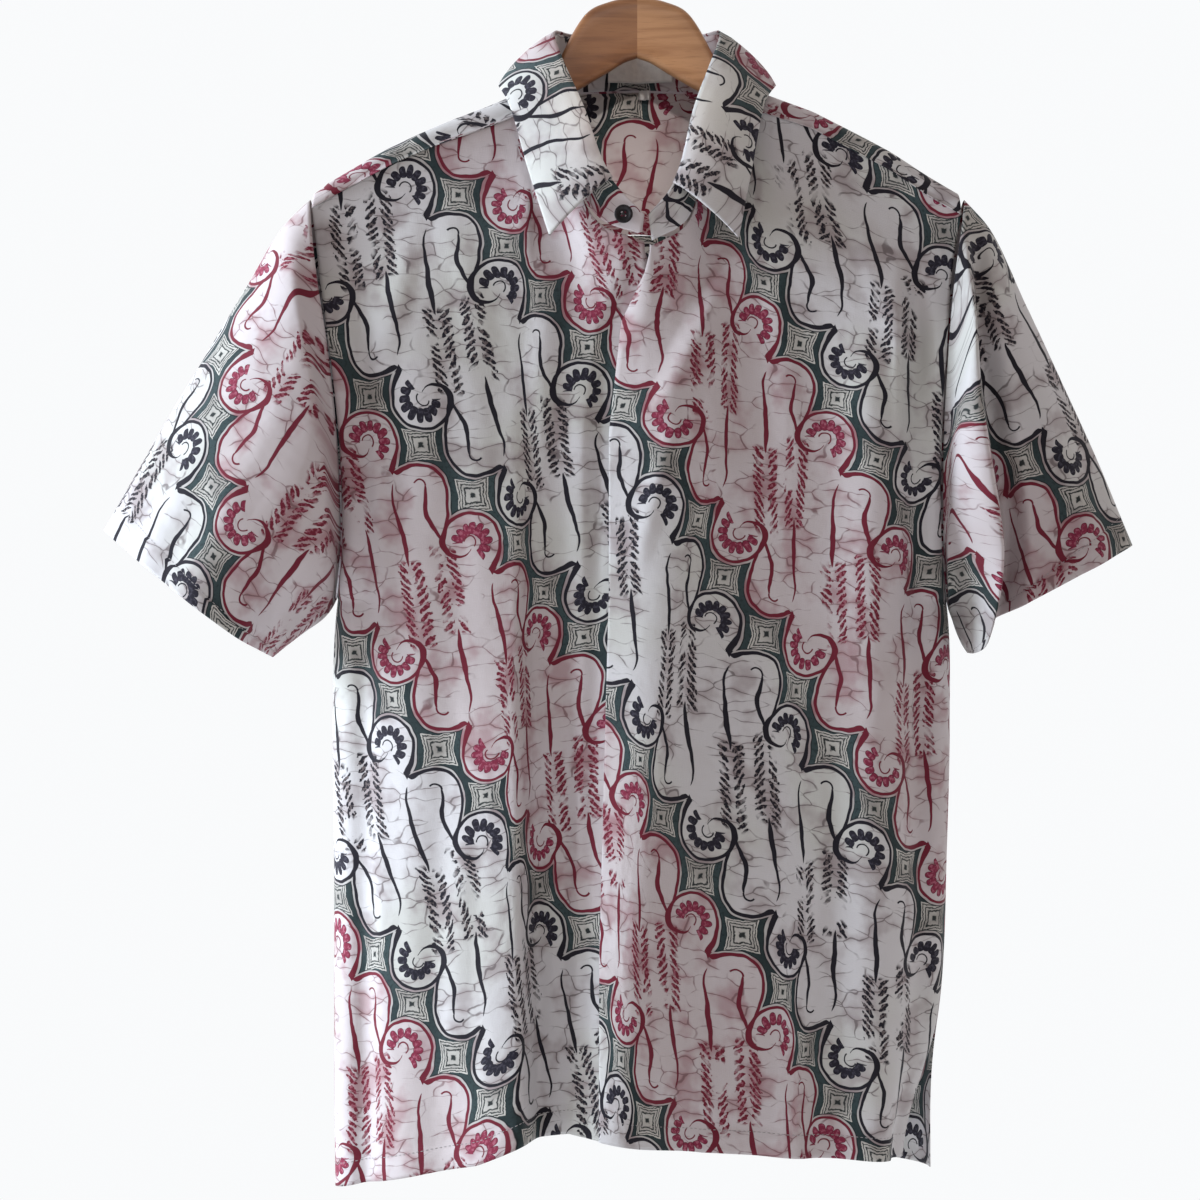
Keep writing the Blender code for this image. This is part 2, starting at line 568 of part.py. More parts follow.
def hanger_arm(name, side):
    """Half of the hanger, lofted through rounded sections from the mitre to the shoulder's end."""
    corners = 12
    bm = bmesh.new()
    bmesh.ops.create_grid(bm, x_segments=corners, y_segments=ARM_RINGS, size=0.5)
    flat = np.array([vert.co for vert in bm.verts])
    turn = 2 * math.pi * np.round(flat[:, 0] + 0.5, 6) * side
    along = np.round(flat[:, 1] + 0.5, 6)
    x = mix(HANGER_ARM[0].x, HANGER_ARM[-1].x, along)
    top, low = follow(HANGER_ARM, "x", "top", x), follow(HANGER_ARM, "x", "low", x)
    half = follow(HANGER_ARM, "x", "thick", x) / 2
    round_y = np.sign(np.sin(turn)) * np.abs(np.sin(turn)) ** ARM_SQUARENESS
    round_z = np.sign(np.cos(turn)) * np.abs(np.cos(turn)) ** ARM_SQUARENESS
    y = sweep(x) + half * round_y
    z = -(top + low) / 2 + (low - top) / 2 * round_z
    for vert, place in zip(bm.verts, np.stack([side * x, y, z], axis=1)):
        vert.co = place
    bmesh.ops.remove_doubles(bm, verts=bm.verts, dist=1e-6)
    bmesh.ops.holes_fill(bm, edges=bm.edges, sides=0)
    bmesh.ops.recalc_face_normals(bm, faces=bm.faces)
    mesh = bpy.data.meshes.new(name)
    bm.to_mesh(mesh)
    bm.free()
    mesh.shade_smooth()
    mesh.set_sharp_from_angle(angle=math.radians(40))
    return add(name, mesh, material(name, WOOD, roughness=0.45))


def hook():
    """The hook: a stem on the hanger's middle and a round bend whose inside top is the origin."""
    radius = HOOK_INNER_RADIUS + HOOK_WIRE / 2
    angles = np.radians(np.linspace(HOOK_START, HOOK_END, 30))
    bend = [(radius * math.cos(a), 0.0, -HOOK_INNER_RADIUS + radius * math.sin(a)) for a in angles]
    foot = [(0.0, 0.0, -HOOK_STEM_FOOT), (0.0, 0.0, -0.046), (0.0012, 0.0, -0.0425), (0.0050, 0.0, -0.0385)]
    route = bpy.data.curves.new("hook", "CURVE")
    route.dimensions = "3D"
    route.bevel_depth = HOOK_WIRE / 2
    route.bevel_resolution = 2
    route.use_fill_caps = True
    line = route.splines.new("POLY")
    line.points.add(len(foot) + len(bend) - 1)
    for point, place in zip(line.points, foot + bend):
        point.co = (*place, 1.0)
    piece = bpy.data.objects.new("hook", route)
    piece.data.materials.append(material("hook", STEEL, roughness=0.3, metallic=1.0))
    parts.objects.link(piece)


def button():
    """The undone top button, sewn on the right end of the stand."""
    bm = bmesh.new()
    bmesh.ops.create_cone(bm, cap_ends=True, segments=24, radius1=BUTTON_RADIUS, radius2=BUTTON_RADIUS,
                          depth=BUTTON_THICK)
    mesh = bpy.data.meshes.new("button")
    bm.to_mesh(mesh)
    bm.free()
    piece = add("button", mesh, material("button", BLACK, roughness=0.35))
    across = (BUTTON_AT[0] - COLLAR[0].neck[0]) / (COLLAR[1].neck[0] - COLLAR[0].neck[0])
    depth = mix(COLLAR[0].fold[1], COLLAR[1].fold[1], across)
    piece.rotation_euler = (math.pi / 2, 0.0, 0.0)
    piece.location = (BUTTON_AT[0], depth - 0.0022 - BUTTON_THICK / 2, BUTTON_AT[1])


def patch(start, end):
    """A function for a small flat patch that lies inside the back of the neck."""
    def shape(across, down):
        x, z = mix(start[0], end[0], across), mix(end[1], start[1], down)
        rows = sorted(row.neck for row in COLLAR if abs(row.place - 0.5) < 0.2)
        fold_rows = sorted(row.fold for row in COLLAR if abs(row.place - 0.5) < 0.2)
        neck_y = np.interp(x, [row[0] for row in rows], [row[1] for row in rows])
        fold_y = np.interp(x, [row[0] for row in fold_rows], [row[1] for row in fold_rows])
        up = np.clip((z + 0.120) / 0.037, 0, 1)
        depth = np.minimum(mix(neck_y, fold_y, up), neck_y) - CLOTH - LABEL_THICK - 2 * LAYER_GAP
        return np.stack([x, depth, z], axis=1)
    return shape


for old in list(bpy.data.objects):
    bpy.data.objects.remove(old)
parts = bpy.data.collections.new("batik_shirt_on_hanger")
bpy.context.scene.collection.children.link(parts)

sheet("front_right", right_front, FRONT_COLUMNS, BODY_ROWS, -1)
sheet("front_left", left_front, FRONT_COLUMNS, BODY_ROWS, -1)
sheet("back", back, len(yoke_starts()) - 1, BODY_ROWS, 1)
sheet("yoke", yoke, len(yoke_starts()) - 1, YOKE_ROWS, 1)
right_sleeve = sleeve(RIGHT_SLEEVE, RIGHT_SLEEVE_FOLDS, RIGHT_LAP, 0.0)
left_sleeve = sleeve(LEFT_SLEEVE, LEFT_SLEEVE_FOLDS, LEFT_LAP, LEFT_ROLL_DROP)
sheet("sleeve_right", right_sleeve, RIGHT_SLEEVE_COLUMNS, SLEEVE_ROWS, -1)
sheet("sleeve_left", left_sleeve, LEFT_SLEEVE_COLUMNS, SLEEVE_ROWS, 1)
sheet("collar_stand", stand, STAND_COLUMNS, STAND_ROWS, -1)
sheet("collar_leaf", leaf, LEAF_COLUMNS, LEAF_ROWS, -1)
sheet("neck_label", patch(LABEL_FROM, LABEL_TO), 6, 1, -1, LABEL_THICK, material("neck_label", LABEL_GREY))
sheet("size_tab", patch(TAB_FROM, TAB_TO), 1, 1, -1, LABEL_THICK, material("size_tab", LABEL_GREY))
hanger_arm("hanger_arm_right", -1)
hanger_arm("hanger_arm_left", 1)
hook()
button()
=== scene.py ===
import math
from collections import namedtuple
from functools import partial, partialmethod

import bmesh
import bpy
import numpy as np
from mathutils import Matrix, Vector


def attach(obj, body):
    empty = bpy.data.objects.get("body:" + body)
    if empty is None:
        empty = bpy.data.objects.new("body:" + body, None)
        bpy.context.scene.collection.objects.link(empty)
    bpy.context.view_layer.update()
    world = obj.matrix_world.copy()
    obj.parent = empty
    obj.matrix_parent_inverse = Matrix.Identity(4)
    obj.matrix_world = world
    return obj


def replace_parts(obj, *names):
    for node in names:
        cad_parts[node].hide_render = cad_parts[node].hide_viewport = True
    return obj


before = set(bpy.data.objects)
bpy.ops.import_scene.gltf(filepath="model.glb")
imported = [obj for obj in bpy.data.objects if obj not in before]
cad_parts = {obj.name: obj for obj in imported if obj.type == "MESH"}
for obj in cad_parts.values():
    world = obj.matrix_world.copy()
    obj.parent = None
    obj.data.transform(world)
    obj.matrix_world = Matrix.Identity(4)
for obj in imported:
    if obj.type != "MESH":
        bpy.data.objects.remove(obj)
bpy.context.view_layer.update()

# Camera: level with the chest and square to the hanger, far enough off that the sleeves look flat.
CAMERA_AT = (-0.026, -2.3, -0.475)
FRAME_WIDTH = 0.84
SENSOR = 36.0
scene = bpy.context.scene
camera = bpy.data.objects.new("camera", bpy.data.cameras.new("camera"))
camera.data.sensor_width = SENSOR
camera.data.lens = SENSOR * -CAMERA_AT[1] / FRAME_WIDTH
camera.location = CAMERA_AT
camera.rotation_euler = (math.pi / 2, 0.0, 0.0)
scene.collection.objects.link(camera)
scene.camera = camera
scene.view_settings.view_transform = "Standard"

# Studio: a pale floor below the hem, a soft window on the wearer's right and a small light that reaches
# into the neck. The surround is plain, white behind the shirt and warmer and dimmer before it.
FLOOR_Z = -1.35
FLOOR_HALF = 2.3


def soft_light(name, place, target, size, power, colour, spread=180):
    lamp = bpy.data.lights.new(name, "AREA")
    lamp.shape = "RECTANGLE"
    lamp.size, lamp.size_y = size
    lamp.energy = power
    lamp.color = colour
    lamp.spread = math.radians(spread)
    light = bpy.data.objects.new(name, lamp)
    light.location = place
    aim = Vector(target) - Vector(place)
    light.rotation_euler = aim.to_track_quat("-Z", "Y").to_euler()
    scene.collection.objects.link(light)


def feed(node, values):
    """Gives a node's sockets their values or links."""
    for name, value in values.items():
        if isinstance(value, Shade):
            value.tree.links.new(value.socket, node.inputs[name])
        else:
            node.inputs[name].default_value = value


class Shade:
    """A socket of a material's node tree. Arithmetic on it adds Math nodes."""

    def __init__(self, tree, socket=None):
        self.tree = tree
        self.socket = socket

    def node(self, kind, settings=None, links=None, out=0):
        """Adds a node, sets its settings, then gives its sockets their values or links."""
        made = self.tree.nodes.new("ShaderNode" + kind)
        for name, value in (settings or {}).items():
            if name == "stops":
                for place, grey in value[1:-1]:
                    made.color_ramp.elements.new(place)
                for element, (place, grey) in zip(made.color_ramp.elements, value):
                    element.position = place
                    element.color = (grey, grey, grey, 1.0)
            elif name == "curve":
                curve = made.mapping.curves[0]
                made.mapping.use_clip = False
                for place in value[2:]:
                    curve.points.new(*place)
                for point, place in zip(curve.points, value):
                    point.location = place
                    point.handle_type = "AUTO"
                made.mapping.update()
            else:
                setattr(made, name, value)
        feed(made, links or {})
        return Shade(self.tree, made.outputs[out])

    def math(self, operation, *others, first=None):
        values = ([self] if first is None else [first, self]) + list(others)
        return self.node("Math", {"operation": operation}, dict(enumerate(values)))

    __add__ = __radd__ = partialmethod(math, "ADD")
    __sub__ = partialmethod(math, "SUBTRACT")
    __mul__ = __rmul__ = partialmethod(math, "MULTIPLY")
    __truediv__ = partialmethod(math, "DIVIDE")
    __abs__ = partialmethod(math, "ABSOLUTE")
    most = partialmethod(math, "MAXIMUM")
    least = partialmethod(math, "MINIMUM")

    def __rsub__(self, other):
        return self.math("SUBTRACT", first=other)

    def rise(self, low, high):
        """0 at low, 1 at high and smooth between."""
        links = {"Value": self, "From Min": low, "From Max": high}
        return self.node("MapRange", {"interpolation_type": "SMOOTHSTEP"}, links)

    def within(self, half, soft=0.2):
        """1 where the value is nearer to nought than half."""
        return abs(self).rise(half + soft, half - soft)

    def read(self, points, low, high, tall):
        """A curve of this value through given points, which run from low to high and up to tall."""
        span = high - low
        places = [((at - low) / span, height / tall) for at, height in points]
        part = self.math("MULTIPLY_ADD", 1 / span, -low / span)
        return self.node("FloatCurve", {"curve": places}, {"Value": part}) * tall

    def mixed(self, first, second):
        """One colour where this mask is 0, another where it is 1."""
        colours = [colour if isinstance(colour, Shade) else (*colour, 1.0) for colour in (first, second)]
        return self.node("Mix", {"data_type": "RGBA"}, {0: self, 6: colours[0], 7: colours[1]}, out=2)

    def part(self, axis):
        return self.node("SeparateXYZ", None, {0: self}, out=axis)

    def scaled(self, *scale, **links):
        return self.node("Mapping", None, {"Vector": self, "Scale": scale, **links})

    def noise(self, scale, detail, distortion=0.0, flat=False, out=0):
        links = {"Vector": self, "Scale": scale, "Detail": detail, "Distortion": distortion}
        return self.node("TexNoise", {"noise_dimensions": "2D" if flat else "3D"}, links, out)

    def pushed(self, by, amount):
        """These places, moved so many times another vector."""
        return self.node("VectorMath", {"operation": "MULTIPLY_ADD"}, {0: by, 1: (amount,) * 3, 2: self})

    def bump(self, distance, strength, **links):
        return self.node("Bump", None, {"Height": self, "Distance": distance, "Strength": strength, **links})


def finished(finish, colour, rough, bump=None, **others):
    """Gives a material's shader its colour, roughness and bump, and what is the same all over it."""
    sockets = {"Base Color": colour, "Roughness": rough, **({"Normal": bump} if bump else {})}
    sockets.update((name.replace("_", " "), value) for name, value in others.items())
    feed(finish.node_tree.nodes["Principled BSDF"], sockets)
    return finish


def object_of(name, bm):
    mesh = bpy.data.meshes.new(name)
    bm.to_mesh(mesh)
    bm.free()
    thing = bpy.data.objects.new(name, mesh)
    scene.collection.objects.link(thing)
    return thing


soft_light("window", (-2.7, -0.33, 0.22), (0.0, 0.0, -0.5), (1.3, 1.8), 139.0, (0.78, 0.89, 1.0))
soft_light("neck", (0.0, -1.5, 0.7), (-0.005, 0.02, -0.165), (0.06, 0.06), 0.018, (1.0, 0.93, 0.88), 5)

world = scene.world = bpy.data.worlds.new("studio")
world.use_nodes = True
behind = Shade(world.node_tree).node("TexCoord").part(1).rise(-0.55, 0.45)
feed(world.node_tree.nodes["Background"], {
    "Color": behind.mixed((1.0, 0.885, 0.855), (0.98, 0.99, 1.0)), "Strength": behind * 0.58 + 0.39})

bm = bmesh.new()
bmesh.ops.create_grid(bm, x_segments=1, y_segments=1, size=FLOOR_HALF,
                      matrix=Matrix.Translation((0, 0, FLOOR_Z)))
floor = object_of("floor", bm)
paper = bpy.data.materials.new("paper")
paper.use_nodes = True
floor.data.materials.append(finished(paper, (0.86, 0.86, 0.86, 1.0), 0.9))


# HANGER ARMS. The halves of a contoured hanger, each cut from one board and glued in a mitre under the
# hook, then sanded round and lacquered. The board on the wearer's right is the darker one.
def thousandths(value):
    """Metres from millimetres, or parts from thousandths, in a value or in all those of a tuple."""
    if isinstance(value, tuple):
        return tuple(map(thousandths, value))
    return value and round(value / 1000, 7)


def table(columns, *rows):
    """Rows of named columns, given in thousandths: millimetres, or parts of a way along."""
    row_type = namedtuple("Row", columns)
    return [row_type(*thousandths(row)) for row in rows]


HANGER_SWEEP = 0.024  # how far the hanger's ends come forward
SHOULDER_REACH = 0.2265
ARM_SQUARENESS = 0.55
ARM_GRID = (32, 96)
HANGER_ARM = table(
    "x top low thick",
    (0, 53.6, 95.8, 13), (9, 54.3, 99, 13), (20, 56.8, 105.8, 13), (37, 66.5, 116, 13),
    (52, 92.5, 125, 13), (60, 111, 132, 13), (67, 121, 138, 13), (74, 126.5, 143, 13), (93, 133, 153, 14),
    (137, 149, 172, 16), (174, 169, 192, 17), (204, 188.5, 208, 16), (216, 197, 212, 12),
)


def follow(rows, column, at):
    """One column of a table, read between its rows on a smooth curve through them."""
    known = np.array([row[0] for row in rows])
    values = np.array([getattr(row, column) for row in rows], dtype=float)
    slopes = np.gradient(values, known, axis=0)
    at = np.clip(np.asarray(at, dtype=float), known[0], known[-1])
    step = np.clip(np.searchsorted(known, at) - 1, 0, len(known) - 2)
    span = known[step + 1] - known[step]
    part = (at - known[step]) / span
    if values.ndim > 1:
        part, span = part[..., None], span[..., None]
    rise, fall = part * part * (3 - 2 * part), part * (1 - part)
    bend = span * fall * ((1 - part) * slopes[step] - part * slopes[step + 1])
    return values[step] * (1 - rise) + values[step + 1] * rise + bend


def mix(first, second, part):
    return first + (second - first) * part


def sweep(x):
    """How far forward the hanger, and the shoulder on it, lie at a place across."""
    return -HANGER_SWEEP * (np.abs(x) / SHOULDER_REACH) ** 1.5


def surface(name, cloth=False):
    """A new material, and the places on it: the object's own, or those on the cloth as it was cut."""
    finish = bpy.data.materials.new(name)
    finish.use_nodes = True
    start = Shade(finish.node_tree)
    return finish, start.node("UVMap", {"uv_map": "cloth"}) if cloth else start.node("TexCoord", out=3)


def wood(name, pale, dark, shift):
    """Lacquered wood with long grain along the arm and fine pores."""
    finish, place = surface(name)
    grain = place.scaled(12, 60, 130, Location=shift).noise(1, 5, 0.6)
    pores = place.scaled(70, 900, 1500).noise(1, 3)
    colour = grain.rise(0.34, 0.70).mixed(pale, dark)
    colour = (pores.rise(0.56, 0.72) * 0.30).mixed(colour, (dark[0] * 0.5, dark[1] * 0.45, dark[2] * 0.4))
    bump = (pores + grain * 0.4).bump(0.0002, 0.35)
    return finished(finish, colour, grain * 0.16 + 0.34, bump, Coat_Weight=0.20, Coat_Roughness=0.30)


def flat_grid(columns, rows):
    """A grid of faces, and each vertex's place across and along it, both from 0 to 1."""
    bm = bmesh.new()
    bmesh.ops.create_grid(bm, x_segments=columns, y_segments=rows, size=0.5)
    flat = np.array([vert.co for vert in bm.verts])
    return bm, np.round(flat[:, 0] + 0.5, 6), np.round(flat[:, 1] + 0.5, 6)


def carried(bm, places):
    """Moves a grid to its places and joins the seams that meet there."""
    for vert, place in zip(bm.verts, places):
        vert.co = place
    bmesh.ops.remove_doubles(bm, verts=bm.verts, dist=1e-6)


def closed(bm):
    bmesh.ops.holes_fill(bm, edges=bm.edges, sides=0)
    bmesh.ops.recalc_face_normals(bm, faces=bm.faces)


def made(name, bm, finish, body="root"):
    """Makes a smooth piece of a bmesh, with its finish, riding on a body."""
    piece = object_of(name, bm)
    piece.data.shade_smooth()
    piece.data.materials.append(finish)
    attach(piece, body)
    return piece


def hanger_arm(name, side, finish):
    """Half of the hanger, lofted through rounded sections from the mitre to the shoulder's end."""
    bm, around, along = flat_grid(*ARM_GRID)
    turn = 2 * math.pi * around * side
    x = mix(HANGER_ARM[0].x, HANGER_ARM[-1].x, along)
    top, low, thick = (follow(HANGER_ARM, column, x) for column in ("top", "low", "thick"))
    round_y, round_z = (np.sign(way) * np.abs(way) ** ARM_SQUARENESS for way in (np.sin(turn), np.cos(turn)))
    z = -(top + low) / 2 + (low - top) / 2 * round_z
    carried(bm, np.stack([side * x, sweep(x) + thick / 2 * round_y, z], axis=1))
    closed(bm)
    arm = made(name, bm, finish)
    arm.data.set_sharp_from_angle(angle=math.radians(60))
    return arm


dark_board = wood("board_right", (0.30, 0.130, 0.050), (0.19, 0.072, 0.026), (0.3, 0.1, 0.0))
pale_board = wood("board_left", (0.48, 0.245, 0.110), (0.33, 0.148, 0.057), (0.9, 0.4, 0.2))
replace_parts(hanger_arm("arm_right", -1, dark_board), "hanger_arm_right")
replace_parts(hanger_arm("arm_left", 1, pale_board), "hanger_arm_left")


# HOOK. A length of nickel-plated steel wire, screwed into the hanger's middle and bent round to hang on a
# rail. Its end is rounded off.
HOOK_WIRE = 0.0035
HOOK_INNER_RADIUS = 0.018
HOOK_BEND = np.radians(np.linspace(-62, 218, 70))
HOOK_STEM = table("x y z", (0, 0, -53.2), (0, 0, -46), (1.2, 0, -42.5), (5, 0, -38.5))
HOOK_TIP = 0.55  # the width of its rounded end, as a part of the wire's

steel, place = surface("plated_steel")
haze = place.noise(160, 4)
scratches = place.scaled(900, 900, 120).noise(1, 2)
finished(steel, haze.rise(0.3, 0.7).mixed((0.60, 0.60, 0.61), (0.48, 0.47, 0.46)), haze * 0.14 + 0.20,
         scratches.bump(0.00004, 0.5), Metallic=1.0)

radius = HOOK_INNER_RADIUS + HOOK_WIRE / 2
bend = [(radius * math.cos(a), 0.0, -HOOK_INNER_RADIUS + radius * math.sin(a)) for a in HOOK_BEND]
route = np.array(HOOK_STEM + bend)
tangent = np.gradient(route, axis=0)
tangent = tangent / np.linalg.norm(tangent, axis=1)[:, None]
aside = np.cross(tangent, (0.0, 1.0, 0.0))
bm, around, along = flat_grid(16, len(route) - 1)
turn = 2 * math.pi * around
at = np.round(along * (len(route) - 1)).astype(int)
thick = HOOK_WIRE / 2 * np.where(at == len(route) - 1, HOOK_TIP, 1.0)
around = np.cos(turn)[:, None] * aside[at] + np.sin(turn)[:, None] * np.array([0.0, 1.0, 0.0])
carried(bm, route[at] + thick[:, None] * around)
closed(bm)
hook = made("hook_wire", bm, steel)
hook.data.set_sharp_from_angle(angle=math.radians(50))
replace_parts(hook, "hook")


# PRINTED CLOTH. Plain cotton drawn by hand with wax, then dyed dark teal, black and maroon: parang,
# slanting rows of lobes and rolled heads that part along channels of small square lozenges. The dye
# goes right through, so the wrong side shows the same print. Its places are in millimetres of flat cloth.
STEP = (32.0, -36.5)
ROW = (-5.0, -210.0)
HEAD = (-5.0, -31.0)
LOBE = (27.0, -68.0)
PETAL_TURN = 27
LEAF_PITCH = 5.6
LOZENGE = 12.4
# Lines drawn by hand, as points of (turn or place along, reach or place aside) and of (the same, half width).
HEAD_OUTLINE = ((-60, 25.5), (-40, 22), (-15, 20.2), (20, 20), (100, 20), (150, 20), (180, 20.3), (200, 18.6),
                (215, 15.5), (233, 11.7), (247, 8), (262, 4), (300, 2))
HEAD_THICK = ((-60, 2.8), (-40, 2.1), (-10, 1.2), (60, 1.0), (150, 1.4), (180, 2.3), (205, 1.9), (235, 1.2),
              (258, 0.8), (266, -1), (300, -1))
LOBE_OUTLINE = ((-75, 38), (-71, 36.5), (-60, 30), (-45, 25), (-25, 21), (0, 19.5), (60, 18.5), (100, 18),
                (125, 19.5), (141, 22.5), (143, 40), (230, 48), (285, 50))
LOBE_THICK = ((-75, 2.3), (-62, 1.5), (0, 1.1), (80, 1.2), (120, 1.8), (139, 2.8), (144, -1), (285, -1))
SIDE_LINE = ((-54, 7.5), (-40, 6.3), (-25, 4), (-10, 1.2), (-2, 0), (4, 1), (9, 4))
SIDE_THICK = ((-60, -1), (-54, -0.5), (-50, 0.7), (-34, 1.9), (-12, 1.2), (4, 0.6), (8, -0.5), (10, -1),
              (20, -1))
BEND_LINE = ((-34, 11.5), (-30, 9.8), (-23, 6.6), (-15, 3.8), (-6, 4.6), (1, 4.9), (8, 3.6))
BEND_THICK = ((-40, -1), (-36, -0.4), (-34, 0.7), (-18, 1.75), (-8, 1.45), (2, 0.7), (4, -0.5), (6, -1),
              (20, -1))
# How pale a lozenge is from its middle out to its edge.
LOZENGE_RINGS = ((0.0, 0), (0.11, 0), (0.17, 0.8), (0.36, 0.9), (0.42, 0), (0.47, 0), (0.52, 0.8),
                 (0.60, 0.8), (0.64, 0), (0.68, 0), (0.72, 0.9), (0.80, 0.9), (0.83, 0.1), (0.88, 0),
                 (0.91, 1), (0.99, 1), (1.0, 0))


def strip(x, y, centre, ahead):
    """Places measured from the nearest copy of a motif, which repeats every second step."""
    count = ((x - (centre[0] - ahead)) / (2 * STEP[0])).math("FLOOR")
    return x - centre[0] - count * (2 * STEP[0]), y - centre[1] - count * (2 * STEP[1])


def polar(x, y):
    vector = x.node("CombineXYZ", None, {"X": x, "Y": y})
    reach = x.node("VectorMath", {"operation": "LENGTH"}, {0: vector}, out=1)
    return reach, y.math("ARCTAN2", x) * (180 / math.pi)


def drawn(along, aside, course, thick, low, high, tall):
    """A line drawn by hand: how far aside it runs and how thick it is change along it."""
    course, thick = along.read(course, low, high, tall), along.read(thick, low, high, 4)
    return (abs(aside - course) - thick).rise(0.2, -0.2), course


def rolled_head(x, y, uneven):
    """The round heads: how far inside their outline, their line with its inner curl, their petals."""
    hx, hy = strip(x, y, HEAD, 37)
    reach, turn = polar(hx, hy)
    turn = turn.math("WRAP", 300, -60)
    line, _ = drawn(turn, reach, HEAD_OUTLINE, HEAD_THICK, -60, 300, 30)
    inside = 20.0 + turn.rise(-5, -62) * 5.5 - reach
    cell = ((turn + 70) / PETAL_TURN).math("FRACT") - 0.5
    petal_x = cell * reach * (PETAL_TURN * math.pi / 180 / 2.55)
    petal_y = (reach - 10.9 + (uneven - 0.5) * 8) / 4.1
    bulge = petal_x * petal_x + petal_y * petal_y * petal_y * petal_y
    petals = bulge.rise(1.1, 0.85) * (turn - 55).within(124, 2)
    hearts = bulge.rise(0.55, 0.75) * petals
    curl, curl_turn = polar(hx + 1.0, hy - 0.5)
    curls = (curl - 4.2).within(0.5, 0.2) * (curl_turn - 60).within(110, 5)
    return inside, line.most(curls), petals, hearts


def lobe(x, y):
    """The lobes between them: how far inside, their outline, and the lines drawn in them."""
    lx, ly = strip(x, y, LOBE, 42)
    reach, turn = polar(lx, ly)
    line, outline = drawn(turn.math("WRAP", 285, -75), reach, LOBE_OUTLINE, LOBE_THICK, -75, 285, 60)
    side_line, _ = drawn(ly, lx + 20, SIDE_LINE, SIDE_THICK, -60, 20, 20)
    bend_line, _ = drawn(ly, lx, BEND_LINE, BEND_THICK, -40, 20, 20)
    hook, hook_turn = polar(lx - 0.6, ly - 3.2)
    hook_line = (hook - 4.3).within(0.65, 0.2) * (hook_turn - 70).within(75, 5)
    return outline - reach, line.most(side_line).most(bend_line).most(hook_line)


def spray(x, y, ragged, uneven):
    """The ears of slanted leaves that grow from the lower heads up to the lobes' side lines."""
    lx, ly = strip(x, y, LOBE, 42)
    down = ly * -1 - 49 + (uneven - 0.5) * 16
    across = abs(lx + 12.5 - down * 0.11 + (uneven - 0.5) * 5)
    leaf = ((down + across * 0.95) / LEAF_PITCH).math("FRACT") * LEAF_PITCH - LEAF_PITCH / 2
    leaf_x, leaf_y = (across - 5.3) / 3.9, leaf / 2.05
    bulge = leaf_x * leaf_x + leaf_y * leaf_y + (ragged - 0.5) * 2.2
    ends = (down - 29).within(30, 2)
    return bulge.rise(1.15, 0.75) * ends, (across - 5.0).rise(6.0, 1.0) * ends


def diamond(x, y):
    """Lozenges with hollow sides, more hollow the further out."""
    count = (x / STEP[0]).math("ROUND")
    across, up = abs(x - count * STEP[0]), abs(y - count * STEP[1])
    far, near = across.most(up), across.least(up)
    return far + (far - near) * far * 0.026


